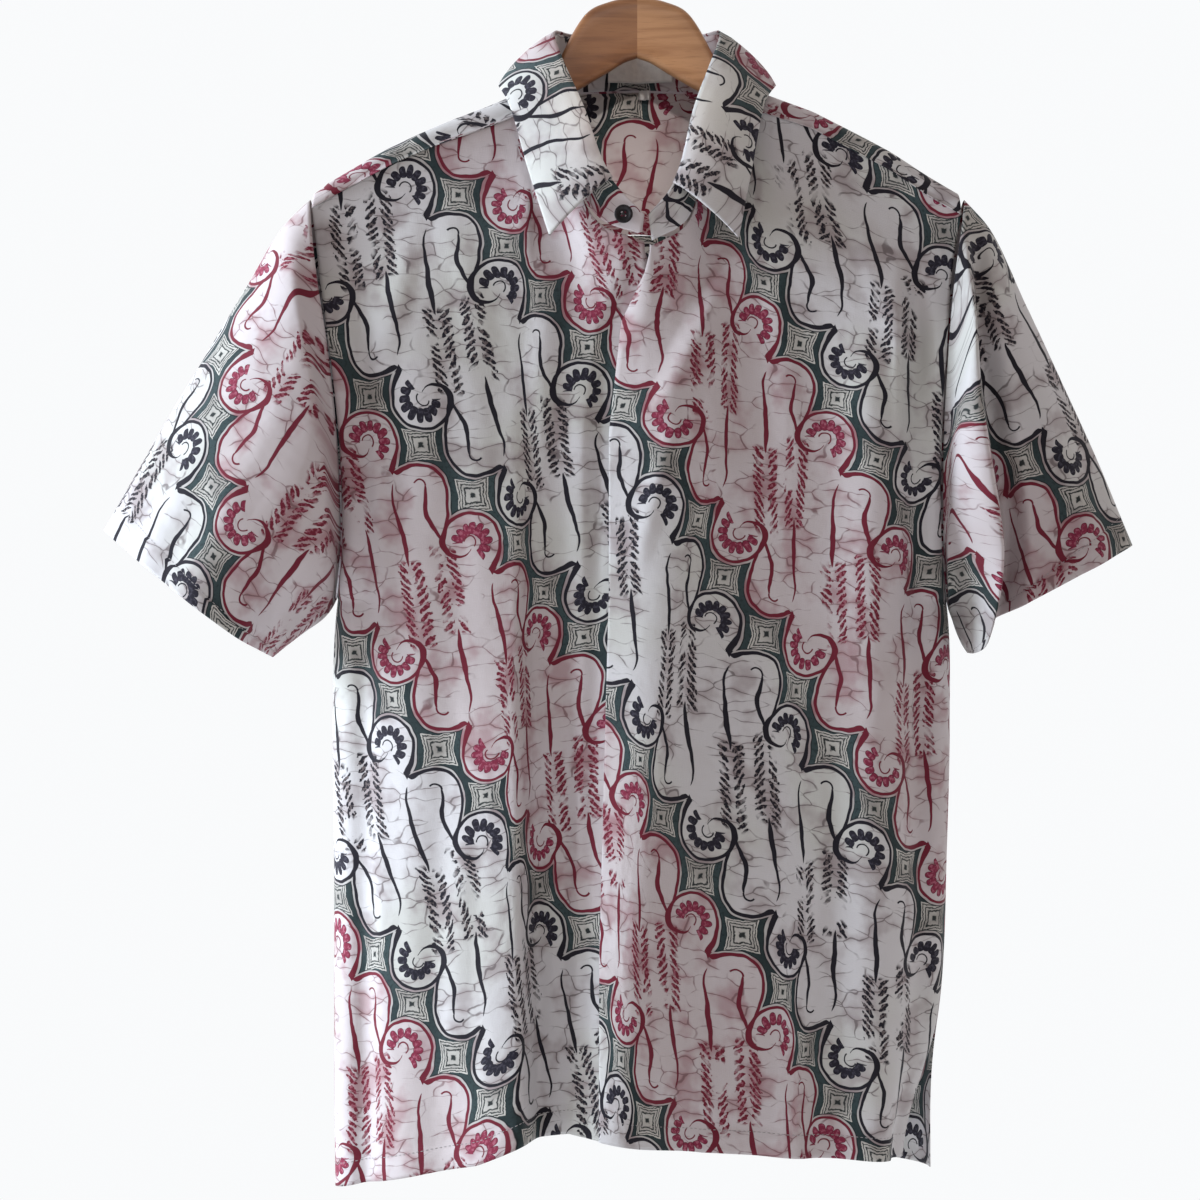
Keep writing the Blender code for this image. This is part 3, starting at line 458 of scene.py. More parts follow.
def batik(uv):
    """The print's colour, with rows that are maroon and rows that are black in turn."""
    noise = partial(uv.noise, flat=True)
    wavy = uv.pushed(noise(14, 1, out=1), 0.0060).pushed(noise(90, 1, out=1), 0.0018)
    x, y = (wavy.part(axis) * 1000 - 3.9 for axis in (0, 1))
    area = STEP[0] * 2 * ROW[1] - STEP[1] * 2 * ROW[0]
    level = (y * (STEP[0] * 2) - x * (STEP[1] * 2)) / area
    row = level.math("FLOOR")
    place = level - row - 0.5
    half = place.math("SIGN")
    slip = row.rise(11.4, 11.6)
    rx, ry = (at - row * ROW[k] - slip * STEP[k] - ROW[k] / 2 for k, at in enumerate((x, y)))
    fx, fy = ROW[0] / 2 - rx * half, ROW[1] / 2 - ry * half
    blots = noise(36, 3)
    head_in, head_line, petals, hearts = rolled_head(fx, fy, blots)
    lobe_in, lobe_line = lobe(fx, fy)
    inside = head_in.most(lobe_in).most((0.5 - abs(place)) * 158 - 31)
    in_row = inside.rise(-0.3, 0.1)
    near = level.math("ROUND")
    ring = diamond(x - near * ROW[0], y - near * ROW[1])
    black_row = (row * 0.5).math("FRACT").rise(0.2, 0.3)

    # The wax's crackle runs mostly across the cloth, and the dye bleeds along it and pools in places.
    wide = noise(8, 2)
    fine = noise(420, 2)
    crossing = uv.scaled(32, 96, 1, Rotation=(0, 0, 0.06)).pushed(noise(60, 1, out=1), 0.65)
    cells = uv.node("TexVoronoi", {"voronoi_dimensions": "2D", "feature": "DISTANCE_TO_EDGE"},
                    {"Vector": crossing, "Scale": 1.0})
    crack = (cells - fine * 0.02).rise(0.034, 0.002)
    stain = black_row.mixed((0.33, 0.170, 0.185), (0.31, 0.255, 0.258))
    vein = black_row.mixed((0.17, 0.085, 0.090), (0.125, 0.100, 0.100))
    spike, haze = spray(rx + ROW[0] / 2, ry + ROW[1] / 2, fine, blots)
    other_spike, other_haze = spray(ROW[0] / 2 - rx, ROW[1] / 2 - ry, fine, blots)
    cloth = black_row.mixed(wide.rise(0.30, 0.60).mixed((0.585, 0.535, 0.545), (0.54, 0.480, 0.480)),
                            wide.rise(0.40, 0.62).mixed((0.585, 0.565, 0.570), (0.545, 0.540, 0.510)))
    for share, dye in ((blots.rise(0.47, 0.72) * 0.56, stain),
                       (haze.most(other_haze) * blots.rise(0.36, 0.66) * 0.60, stain),
                       (cells.rise(0.20, 0.0) * blots.rise(0.46, 0.66) * 0.55, stain),
                       (crack * blots.rise(0.38, 0.54) * 0.76, vein)):
        cloth = share.mixed(cloth, dye)

    # The channels between the rows are teal, with rings of cream in the lozenges.
    teal = wide.rise(0.35, 0.68).mixed((0.020, 0.033, 0.035), (0.042, 0.065, 0.068))
    teal = (fine.rise(0.50, 0.68) * 0.5).mixed(teal, (0.012, 0.022, 0.024))
    cream = blots.rise(0.4, 0.7).mixed((0.56, 0.54, 0.50), (0.36, 0.335, 0.310))
    rings = uv.node("ValToRGB", {"stops": LOZENGE_RINGS}, {0: (ring + (fine - 0.5) * 2.0) / LOZENGE})
    rings = rings.mixed((0.022, 0.027, 0.027), cream)
    ground = ring.rise(12.5, 12.2).mixed(teal, rings)
    ground = inside.rise(-3.3, -2.9).mixed(ground, (0.012, 0.016, 0.018))
    rim = blots.rise(0.4, 0.65).mixed((0.47, 0.450, 0.435), stain)
    ground = inside.rise(-2.6, -2.2).mixed(ground, rim)

    # The lines, the ears and the heads' petals are drawn in the row's own dye.
    line_dye = black_row.mixed((0.150, 0.012, 0.027), (0.011, 0.009, 0.015))
    petal_dye = black_row.mixed((0.215, 0.022, 0.052), (0.015, 0.013, 0.022))
    worn_dye = black_row.mixed((0.35, 0.100, 0.145), (0.045, 0.041, 0.058))
    petal_dye = fine.rise(0.46, 0.68).mixed(petal_dye, worn_dye)
    heart_dye = black_row.mixed((0.12, 0.010, 0.030), (0.014, 0.012, 0.022))
    ear_dye = fine.rise(0.46, 0.62).mixed(line_dye, black_row.mixed((0.30, 0.09, 0.12), vein))
    colour = in_row.mixed(ground, cloth)
    for share, dye in ((spike.most(other_spike) * blots.rise(0.34, 0.44), ear_dye),
                       (petals * in_row, petal_dye),
                       (hearts * in_row, heart_dye),
                       (head_line.most(lobe_line) * inside.rise(-1.6, -1.2), line_dye)):
        colour = share.mixed(colour, dye)
    return colour


def printed_cotton():
    """The print on a thin plain weave that is a little crumpled."""
    finish, uv = surface("batik", cloth=True)
    across = uv.scaled(2600, 160, 1).noise(1, 1, flat=True)
    down = uv.scaled(160, 2600, 1).noise(1, 1, flat=True)
    weave = (across + down).bump(0.00018, 0.5)
    crumpled = uv.noise(42, 2, flat=True).bump(0.0026, 0.45, Normal=weave)
    return finished(finish, batik(uv), across * 0.08 + 0.80, crumpled,
                    Sheen_Weight=0.10, Sheen_Roughness=0.5, Specular_IOR_Level=0.25)


cotton = printed_cotton()


# RIGHT FRONT. One piece of the printed cotton from the shoulder to the hem, on the side of the wearer's
# right hand. Its button edge is turned in and lies under the left front; its hem is turned up twice.
SEAM_GAP = 0.0003
THREAD_WALL = 0.0007
# The shirt's body, one row for each level: where its side seams stand and how far front and back
# lie from the hanger's plane in the middle.
BODY = table(
    "drop right_side left_side front back",
    (190, -226.5, 226.5, -46, 36), (250, -219, 216, -52, 46), (310, -210, 210.5, -56, 51),
    (390, -204, 208.5, -58, 54), (445, -205, 211, -58, 56), (480, -210, 216.5, -57, 57),
    (560, -212.8, 218.5, -55, 58), (650, -212, 216.5, -52, 58), (740, -211.8, 213, -49, 58),
    (790, -211.8, 207, -47, 57), (900, -211, 205.5, -45, 56),
)
SIDE_ROUNDNESS = 3.2
SIDE_SQUARENESS = 2.3
UNDERARM = 0.475

# Folds that hang in the fronts and the back. The crest runs from the top to the low place, and the
# cloth falls away over "before" towards the wearer's right and over "after" towards the left.
FOLD = "top_x top_drop low_x low_drop before after top_height low_height"
FRONT_FOLDS = table(
    FOLD,
    (-86, 340, -81, 860, 85, 15, 4, 33), (30, 280, -14, 860, 66, 62, 10, 36),
    (112, 680, 108, 860, 34, 18, 0, 9), (160, 300, 166, 860, 34, 34, 10, 12),
    (-150, 300, -158, 860, 30, 34, 6, 9), (-190, 270, -189, 420, 16, 14, -7, -6),
    (192, 270, 195, 460, 18, 16, -12, -9),
)
FOLD_ONSET = 0.09  # the length over which a fold comes up from nothing

# The armhole, an upright oval whose top sits forward on the hanger.
ARM_TOP = 0.198
ARM_FRONT = 0.040
ARM_SOFTNESS = 0.3  # how gently the cloth beside the oval's ends takes up its shape
ARM_EDGE = 0.15  # the part of half a panel's width, beside the armhole, that follows it
FOLD_CLEAR = 0.12  # and the part over which the folds run out

# The button edge, one row for each level: the left front's edge, which lies on top, and the right
# front's edge below it.
BUTTON_EDGE = table(
    "drop over under",
    (200, 8, 3.5), (238, 8, 4.5), (252, 4.5, 11), (285, -11.5, 18.5), (361, -20, 10), (468, -20, 10),
    (713, -26.5, 3.5), (900, -27, 3),
)
UNDERLAP_DEPTH = 0.0044
UNDERLAP_EARLY = 0.005
UNDERLAP_LEAD = 0.014  # over which the right front sinks below the left one's edge

# Nominal levels that the panels' rows are spaced between.
FRONT_TOP = 0.200
MEAN_HEM = 0.868

# Hem of the fronts and of the back.
HEM = table(
    "x front back",
    (-212, 884, 878), (-110, 859.5, 865), (-79, 845.5, 858), (-47, 838.5, 854), (2, 847, 857),
    (44, 854, 862), (205, 862.5, 872),
)

# The shoulder, one row for each place across it: the ridge, the yoke's seam to the fronts and its
# seam to the back.
SHOULDER = table(
    "x ridge front_seam back_seam",
    (-226.5, 197.5, 204.5, 240), (-204, 183, 191.5, 233), (-174, 164, 173.5, 227), (-137, 144, 157, 223),
    (-93, 123.5, 141, 219), (-74, 114, 132, 217.5), (0, 79.5, 132, 215), (74, 114, 130, 217.5),
    (93, 123.5, 136.5, 219), (120, 136.5, 145.5, 221.5), (174, 164, 175.5, 227), (204, 183, 196.5, 233),
    (226.5, 197.5, 209.5, 240),
)
SHOULDER_SEAM = 0.0011  # the gap on the outside, where both walls lean together inside
RIDGE_FRONT = 0.013  # half the shoulder's thickness in front of its ridge
RIDGE_DROP = 0.015
FRONT_SETTLE = 0.11  # below the shoulder, where the cloth has reached the body's own depth

# The collar, one row for each place round the neck from the wearer's right to the left: where the
# stand is sewn to the neck, where the leaf folds over it, and the leaf's outer edge.
COLLAR = table(
    "place neck fold leaf_edge",
    (0, (2.2, -67, -228.4), (4.1, -67, -212.8), None),
    (62, (-25, -62, -217.4), (-17.7, -64.5, -189.2), (-60, -65, -227)),
    (171, (-49.5, -45, -171.8), (-37.3, -44, -137.5), (-75.5, -46, -176.8)),
    (275, (-74, -18, -132), (-53.3, -18, -97), (-90, -22, -128)),
    (313, (-72, -4, -114), (-57.5, -3, -81.8), (-96, -1, -115.5)),
    (385, (-52, 24.1, -116.5), (-45, 23, -77.5), (-78, 42, -123)),
    (500, (0, 37, -114.3), (0, 34.5, -75.5), (0, 54, -128)),
    (615, (52, 24.1, -116.5), (45, 23, -77.5), (78, 42, -123)),
    (687, (72, -4, -114), (57.5, -3, -81.8), (96, -1, -115.5)),
    (725, (74, -18, -130), (52.9, -18, -97), (89.5, -22, -126.5)),
    (829, (48.5, -45, -171.8), (38.7, -44, -137.5), (78, -47, -176.8)),
    (938, (31.5, -60, -219.1), (23.6, -64.5, -192.6), (67.8, -65, -228.6)),
    (1000, (9.5, -65, -232), (7, -65, -212.6), None),
)
NECK_HALF_WIDTH = 0.0740
BACK_NECK_START = 0.275  # the place where the neck seam leaves the fronts for the yoke
NECK_EASE = 0.0012
NECK_CLOSER = 0.8

# Soft creases besides the main folds: a ridge from one place to another, or a trough where the height
# is below nought.
CREASE = "from_x from_drop to_x to_drop half_width height"
FRONT_CREASES = table(
    CREASE,
    (-190, 300, -176, 470, 12, 3), (-150, 200, -178, 330, 14, 2.4), (-140, 180, -96, 330, 16, 1.6),
    (-118, 260, -104, 520, 20, 2.2), (-60, 240, -74, 450, 16, 2.6), (-205, 470, -150, 560, 15, 2),
    (-190, 560, -170, 840, 18, 2.6), (-120, 560, -130, 870, 16, 3), (-36, 300, -44, 520, 12, 1.8),
    (-46, 480, -52, 830, 10, -2.6), (60, 280, 52, 520, 18, 2.2), (90, 220, 110, 420, 16, 2.4),
    (150, 200, 180, 320, 14, 2.6), (176, 215, 186, 400, 14, 4.4), (198, 300, 180, 480, 12, 2.8),
    (62, 245, 4, 370, 14, 4), (30, 330, -6, 470, 12, 3), (208, 480, 150, 570, 16, 2.2),
    (76, 480, 66, 850, 20, 3), (140, 560, 134, 850, 16, -2.4), (190, 600, 186, 850, 14, 2.6),
    (110, 700, 106, 790, 8, 2.6),
)
CREASE_END = 0.35  # the part of its length over which a crease runs out


def corner(rows, column, at):
    """One column of a table, read between its rows on straight lines, for an outline with corners."""
    return np.interp(at, [row[0] for row in rows], [getattr(row, column) for row in rows])


def ease(part):
    """0 before the start, 1 after the end, and smooth between."""
    part = np.clip(part, 0, 1)
    return part * part * (3 - 2 * part)


right_seam, left_seam = (partial(follow, BODY, side) for side in ("right_side", "left_side"))
over_edge, under_edge = (partial(corner, BUTTON_EDGE, edge) for edge in ("over", "under"))


def crest(distance, before, after):
    """A soft ridge, 1 on its crest and 0 where it has run out on either side."""
    part = np.where(distance < 0, -distance / before, distance / after)
    return np.where(part < 1, 0.5 + 0.5 * np.cos(math.pi * np.clip(part, 0, 1)), 0.0)


def creased(creases, x, drop):
    """How far the creases lift the cloth at a place."""
    lift = np.zeros(np.broadcast(x, drop).shape)
    for crease in creases:
        run_x, run_drop = crease.to_x - crease.from_x, crease.to_drop - crease.from_drop
        length = math.hypot(run_x, run_drop)
        along = ((x - crease.from_x) * run_x + (drop - crease.from_drop) * run_drop) / length**2
        aside = ((x - crease.from_x) * run_drop - (drop - crease.from_drop) * run_x) / length
        ends = ease(along / CREASE_END) * ease((1 - along) / CREASE_END)
        lift = lift + crease.height * ends * crest(aside, crease.half_width, crease.half_width)
    return lift


def fold_height(folds, x, drop):
    height = np.zeros(np.broadcast(x, drop).shape)
    for fold in folds:
        down = (drop - fold.top_drop) / (fold.low_drop - fold.top_drop)
        middle = mix(fold.top_x, fold.low_x, np.clip(down, -0.3, 1.1))
        tall = mix(fold.top_height, fold.low_height, np.clip(down, 0, 1))
        onset = ease((drop - fold.top_drop) / FOLD_ONSET + 0.5)
        height = height + tall * onset * crest(x - middle, fold.before, fold.after)
    return height


def arm_axis(drop):
    """The depth of the armhole's middle: forward at the shoulder and in the side seam below."""
    return sweep(SHOULDER_REACH) * (1 - ease((drop - ARM_TOP) / (UNDERARM - ARM_TOP)))


def free_depth(panel, x, drop):
    """The depth of a panel where it hangs clear of the shoulder."""
    right, left = right_seam(drop), left_seam(drop)
    aside = np.clip(np.abs(x - (right + left) / 2) / ((left - right) / 2), 0, 1)
    full = (1 - aside**SIDE_ROUNDNESS) ** (1 / SIDE_SQUARENESS)
    oval = 1 - ((drop - (ARM_TOP + UNDERARM) / 2) / ((UNDERARM - ARM_TOP) / 2)) ** 2
    swell, hole = np.sqrt((oval + np.hypot(oval, ARM_SOFTNESS)) / 2), np.sqrt(np.clip(oval, 0, 1))
    reach = panel.face * panel.arm * mix(swell, hole, ease((aside - 1 + ARM_EDGE) / ARM_EDGE))
    edge = arm_axis(drop) + reach + panel.face * 2 * SEAM_GAP
    height = fold_height(panel.folds, x, drop) * ease((1 - aside) / FOLD_CLEAR)
    return mix(edge, follow(BODY, panel.name, drop), full) + panel.face * height


def shoulder_front(x, drop):
    """The depth of the shoulder's front slope at a level below its ridge."""
    below = (drop - follow(SHOULDER, "ridge", x)) / RIDGE_DROP
    return sweep(x) - RIDGE_FRONT * np.sqrt(np.clip(1 - (1 - np.clip(below, 0, 1)) ** 2, 0, 1))


def top_of_front(x):
    """The drop and depth of the fronts' upper edge: the yoke's seam, then the neck."""
    place = np.linspace(0, 1, 401)
    neck = follow(COLLAR, "neck", place)[np.abs(place - 0.5) > 0.5 - BACK_NECK_START]
    neck = neck[np.argsort(neck[:, 0])]
    neck_depth, neck_drop = np.interp(x, neck[:, 0], neck[:, 1]), np.interp(x, neck[:, 0], -neck[:, 2])
    seam_drop = corner(SHOULDER, "front_seam", x)
    inside = np.abs(x) < NECK_HALF_WIDTH
    depth = np.where(inside, neck_depth, shoulder_front(x, seam_drop))
    return np.where(inside, neck_drop + NECK_EASE, seam_drop), depth


def front_depth(x, drop):
    top_drop, top_depth = top_of_front(x)
    return mix(top_depth, free_depth(FRONT, x, drop), ease((drop - top_drop) / FRONT_SETTLE))


def spread(panel, first, last, drop, parts):
    """Places across a row, spaced evenly along the cloth and not along X, and closer by the neck."""
    x = first + (last - first) * (1 - np.cos(np.linspace(0, math.pi, 400))) / 2
    y = free_depth(panel, x, np.full_like(x, drop))
    weight = 1 + panel.closer * (np.abs(x[1:]) < NECK_HALF_WIDTH)
    run = np.concatenate([[0], np.cumsum(np.hypot(np.diff(x), np.diff(y)) * weight)])
    return np.interp(np.asarray(parts) * run[-1], run, x)


def panel_rows(panel, first, last, across, down):
    """Where the places of a panel lie across and how far down, between its first edge and its last."""
    x = np.empty_like(across)
    for row in np.unique(down):
        here, drop = down == row, mix(panel.top, MEAN_HEM, row)
        x[here] = spread(panel, first(drop), last(drop), drop, across[here])
    drop = mix(panel.seam(x), corner(HEM, panel.name, x), down)
    x = np.where(across < 0.001, first(drop), x)
    return np.where(across > 0.999, last(drop), x), drop


def right_front(across, down):
    """From the right armhole and side seam to the edge that lies under the left front."""
    x, drop = panel_rows(FRONT, right_seam, under_edge, across, down)
    lead = (x - over_edge(drop) + UNDERLAP_EARLY) / UNDERLAP_LEAD + 1
    return np.stack([x, front_depth(x, drop) + UNDERLAP_DEPTH * ease(lead), -drop], axis=1)


def unrolled(grid):
    """The length of cloth along each row of a sheet, from its first column to every place."""
    steps = np.linalg.norm(np.diff(grid, axis=1), axis=2)
    return np.concatenate([np.zeros((len(grid), 1)), np.cumsum(steps, axis=1)], axis=1)


def woven(name, node, shape, laid, size, inward, finish=cotton, wall=THREAD_WALL):
    """A thin sheet carried to shape(across, down), with laid(...) giving its places on flat cloth."""
    bm, across, up = flat_grid(*size)
    bm.verts.index_update()
    down = np.round(1 - up, 6)
    places = shape(across, down)
    grid = (size[1] + 1, size[0] + 1)
    cloth = laid(places.reshape(*grid, 3), across.reshape(grid), down.reshape(grid))
    cloth_u, cloth_v = (np.ravel(part) for part in cloth)
    layer = bm.loops.layers.uv.new("cloth")
    for face in bm.faces:
        for loop in face.loops:
            loop[layer].uv = (cloth_u[loop.vert.index], cloth_v[loop.vert.index])
    carried(bm, places)
    piece = made(name, bm, finish)
    shell = piece.modifiers.new("Wall", "SOLIDIFY")
    shell.thickness = wall
    shell.offset = inward
    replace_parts(piece, node)
    return piece


# How the threads of a hanging panel lie: where one lengthwise thread runs, how far the crosswise threads
# rise from level ones, and how much more cloth each fold takes up than its depth shows, both at four levels.
LEVELS = ("chest", "waist", "hip", "hem")
LEVEL_DROPS = (0.25, 0.45, 0.65, 0.85)
WEFT = "x chest waist hip hem"
TUCK = "top_x top_drop low_x low_drop half_width chest waist hip hem"


def hung(thread, weft, tucks, shift):
    """Lays out flat a panel that hangs with its threads as these tables say."""
    def laid(grid, across, down):
        x, drop = grid[..., 0], -grid[..., 2]
        part = np.clip(np.interp(drop, LEVEL_DROPS, range(4)), 0, 3)
        rise = sum(corner(weft, level, x) * np.clip(1 - np.abs(part - number), 0, 1)
                   for number, level in enumerate(LEVELS))
        run = unrolled(grid * (1, 1, 0))
        for tuck in tucks:
            middle = mix(tuck.top_x, tuck.low_x, (drop - tuck.top_drop) / (tuck.low_drop - tuck.top_drop))
            hidden = np.interp(drop, LEVEL_DROPS, [getattr(tuck, level) for level in LEVELS])
            run = run + hidden * ease((x - middle) / (2 * tuck.half_width) + 0.5)
        start = corner(thread, "x", drop)
        along = [row - np.interp(begin, place, row) for row, begin, place in zip(run, start, x)]
        return np.stack(along) + shift[0], rise - drop + shift[1]
    return laid


HEM_TURN = 0.016  # the hem is turned up twice and stitched so far above its edge
HEM_STEP = 0.0007
HEM_SLOPE = 0.004
HEM_HOLLOW = 0.6  # how far the cloth sinks above the stitches, as a part of the step
HEM_HOLLOW_HIGH = 0.006
CREASE_CLEAR = 0.02  # the creases run out so far from the side seams
CREASE_BELOW = 0.03  # and so far below the fronts' upper edge


def lifted(places, panel):
    """A panel with its creases and with its hem, which is three layers thick."""
    x, drop = places[:, 0], -places[:, 2]
    above = corner(HEM, panel.name, x) - drop
    hollow = HEM_HOLLOW * crest(above - HEM_TURN - HEM_SLOPE, HEM_SLOPE, HEM_HOLLOW_HIGH)
    step = ease((HEM_TURN - above) / HEM_SLOPE) - hollow
    places[:, 1] += panel.face * HEM_STEP * step
    fade = ease((x - right_seam(drop)) / CREASE_CLEAR) * ease((left_seam(drop) - x) / CREASE_CLEAR)
    if panel.face < 0:
        fade = fade * ease((drop - top_of_front(x)[0]) / CREASE_BELOW)
    places[:, 1] += panel.face * creased(panel.creases, x, drop) * fade
    return places


Panel = namedtuple("Panel", "name face arm top seam closer folds creases")
FRONT = Panel("front", -1, ARM_FRONT, FRONT_TOP, lambda x: top_of_front(x)[0] + SHOULDER_SEAM / 2,
              NECK_CLOSER, FRONT_FOLDS, FRONT_CREASES)
FRONT_SIZE = (112, 270)
RIGHT_THREAD = table("drop x", (230, -91), (440, -79), (630, -79), (820, -68))
RIGHT_WEFT = table(
    WEFT,
    (-190, 0, 5, 3, 3), (-150, 0, 0, 0, 0), (-110, 0, -1, -6, -4), (-70, 0, -8, -18, -20),
    (-20, 0, -14, -26, -30),
)
RIGHT_TUCKS = table(
    TUCK,
    (-76, 250, -60, 850, 12, 9, 10, 10, 0), (-83, 250, -83, 850, 10, 0, 10, 24, -10),
)
RIGHT_PRINT = (-0.055, -2.078)

right = woven("right_front", "front_right", lambda a, d: lifted(right_front(a, d), FRONT),
              hung(RIGHT_THREAD, RIGHT_WEFT, RIGHT_TUCKS, RIGHT_PRINT), FRONT_SIZE, -1)


# LEFT FRONT. The other front, whose edge lies on top and hides the buttons in a placket folded behind it.
# Cut from the same cloth and sewn like the right one.
VENT_TOP = 0.765
VENT_SPREAD = 0.020  # how far its corner has swung in from the back's at the hem
LEFT_THREAD = table("drop x", (260, 86), (460, 63), (560, 53.5), (665, 51), (830, 44))
LEFT_WEFT = table(
    WEFT,
    (-20, -16, -18, -31, -32), (20, -14, -14, -19, -20), (80, 0, -6, -9, -8), (140, 14, 1, -1, -4),
    (190, 28, 14, 10, 4),
)
LEFT_TUCKS = table(
    TUCK,
    (22, 250, -14, 850, 18, 0, 0, 6, 26), (100, 250, 109, 850, 15, 0, 8, 12, 24),
    (73, 250, -39, 850, 16, 10, 18, 19, 10),
)
LEFT_PRINT = (0.000, 0.258)


def left_front(across, down):
    """From the button edge, which lies on top, to the left armhole and side seam."""
    x, drop = panel_rows(FRONT, over_edge, left_seam, across, down)
    swing = VENT_SPREAD * ease((drop - VENT_TOP) / (MEAN_HEM - VENT_TOP)) * ease((across - 0.8) / 0.2)
    return np.stack([x - swing, front_depth(x, drop), -drop], axis=1)


left = woven("left_front", "front_left", lambda a, d: lifted(left_front(a, d), FRONT),
             hung(LEFT_THREAD, LEFT_WEFT, LEFT_TUCKS, LEFT_PRINT), FRONT_SIZE, -1)


# BACK. One piece below the yoke, a little longer than the fronts, sewn to them down the sides as far as
# two short vents.
BACK_TOP = 0.225
ARM_BACK = 0.044
BACK_SIZE = (190, 210)
BACK_FOLDS = table(
    FOLD,
    (-120, 300, -128, 860, 50, 28, 4, 16), (-46, 240, -40, 860, 34, 44, 6, 14),
    (38, 240, 44, 860, 44, 34, 6, 15), (122, 300, 130, 860, 28, 52, 4, 17),
)
BACK_CREASES = table(
    CREASE,
    (-170, 260, -160, 520, 18, 3), (-80, 280, -92, 600, 20, 3), (-10, 300, -4, 700, 22, 2.6),
    (86, 280, 80, 560, 20, 3.2), (172, 270, 160, 540, 18, 2.8), (-200, 480, -140, 580, 16, 2.2),
    (204, 480, 146, 590, 16, 2.2), (-160, 580, -166, 850, 18, 2.8), (76, 600, 84, 860, 18, -2.8),
    (168, 600, 172, 860, 16, 2.6),
)
BACK = Panel("back", 1, ARM_BACK, BACK_TOP, lambda x: corner(SHOULDER, "back_seam", x) + SEAM_GAP, 0.0,
             BACK_FOLDS, BACK_CREASES)


def back(across, down):
    """From the right side seam to the left one, below the yoke."""
    x, drop = panel_rows(BACK, right_seam, left_seam, across, down)
    return np.stack([x, free_depth(BACK, x, drop), -drop], axis=1)


def from_middle(grid):
    """The length of cloth along each row of a sheet, from every place back to the row's middle."""
    run = unrolled(grid)
    return run[:, -1:] / 2 - run


back_panel = woven("back_panel", "back", lambda a, d: lifted(back(a, d), BACK),
                   lambda grid, across, down: (from_middle(grid), grid[..., 2]), BACK_SIZE, 1)


# YOKE. Over both shoulders in one piece, sewn to the fronts before the shoulder and to the back behind it.
# It carries the whole shirt on the hanger.
YOKE_SPACING = 1.4  # closer rows over the ridge
YOKE_LAP = 0.0014  # the yoke's folded edge lies over the fronts
YOKE_LIFT = 0.0010
NECK_CLEAR = 0.003  # between the neck's corner and the nearest column of the seam
FRONT_COLUMNS = 20
BACK_NECK_COLUMNS = 14
YOKE_SIZE = (220, 56)
YOKE_TURN = -4
YOKE_PRINT = (-0.004, -1.290)


def yoke_starts():
    """Where the yoke's columns start: on the right front's seam, round the neck, on the left one's."""
    parts = np.linspace(0, 1, FRONT_COLUMNS + 1)
    right, left = (front(parts, np.zeros_like(parts))[:, 0] for front in (right_front, left_front))
    first_clear = NECK_HALF_WIDTH + NECK_CLEAR
    arms = np.concatenate([right[right < -first_clear], left[left > first_clear]])
    drop = corner(SHOULDER, "front_seam", arms) + YOKE_LAP
    seam = np.stack([arms, shoulder_front(arms, drop) - YOKE_LIFT, -drop], axis=1)
    neck = follow(COLLAR, "neck", np.linspace(BACK_NECK_START, 1 - BACK_NECK_START, BACK_NECK_COLUMNS + 1))
    return np.concatenate([seam[arms < 0], neck, seam[arms > 0]])


def shoulder_drop(x, depth):
    """The drop of the shoulder's outside at a place: it falls away before and behind its ridge."""
    ridge, seam = follow(SHOULDER, "ridge", x), corner(SHOULDER, "back_seam", x)
    ahead = np.clip((sweep(x) - depth) / RIDGE_FRONT, 0, 1)
    behind = np.clip((depth - sweep(x)) / (free_depth(BACK, x, seam) - sweep(x)), 0, 1)
    return (ridge + RIDGE_DROP * (1 - np.sqrt(1 - ahead**2))
            + (seam - SEAM_GAP - ridge) * (1 - np.sqrt(1 - behind**2)))


def on_route(at, known, route):
    """Places on a route of points, read between them."""
    return np.stack([np.interp(at, known, route[:, k]) for k in range(3)], axis=-1)


def yoke(across, down):
    """Over both shoulders, from the fronts' seams and the back of the neck to the back's seam."""
    starts = yoke_starts()
    parts = np.linspace(0, 1, len(starts))
    start, end = on_route(across, parts, starts), on_route(across, parts, back(parts, np.zeros_like(parts)))
    x = mix(start[:, 0], end[:, 0], down)
    depth = mix(start[:, 1], end[:, 1], np.sin(down**YOKE_SPACING * math.pi / 2))
    rise = -start[:, 2] - shoulder_drop(start[:, 0], start[:, 1])
    return np.stack([x, depth, -shoulder_drop(x, depth) - rise * (1 - down) ** 2], axis=1)


def turned(along, up, turn, shift):
    """Places on flat cloth that a pattern piece was cut from at an angle."""
    c, s = math.cos(math.radians(turn)), math.sin(math.radians(turn))
    return c * along - s * up + shift[0], s * along + c * up + shift[1]


def laid_yoke(grid, across, down):
    """Laid out from its back seam, down every column."""
    steps = np.linalg.norm(np.diff(grid, axis=0), axis=2)
    run = np.concatenate([np.cumsum(steps[::-1], axis=0)[::-1], np.zeros((1, grid.shape[1]))], axis=0)
    return turned(from_middle(grid), -run, YOKE_TURN, YOKE_PRINT)


yoke_piece = woven("yoke_piece", "yoke", yoke, laid_yoke, YOKE_SIZE, 1)


# COLLAR STAND. A band round the neck, interlined so that it stands up. The button is sewn on its right
# end, and it is undone, so the two ends stand apart.
FRONT_NECK_COLUMNS = 8
STAND_COLUMNS = BACK_NECK_COLUMNS + 2 * FRONT_NECK_COLUMNS
STAND_SIZE = (210, 14)
STAND_WALL = 0.0012
STAND_HIGH = 0.034
STAND_PRINT = 0.011
NECK_GAP = 0.0016


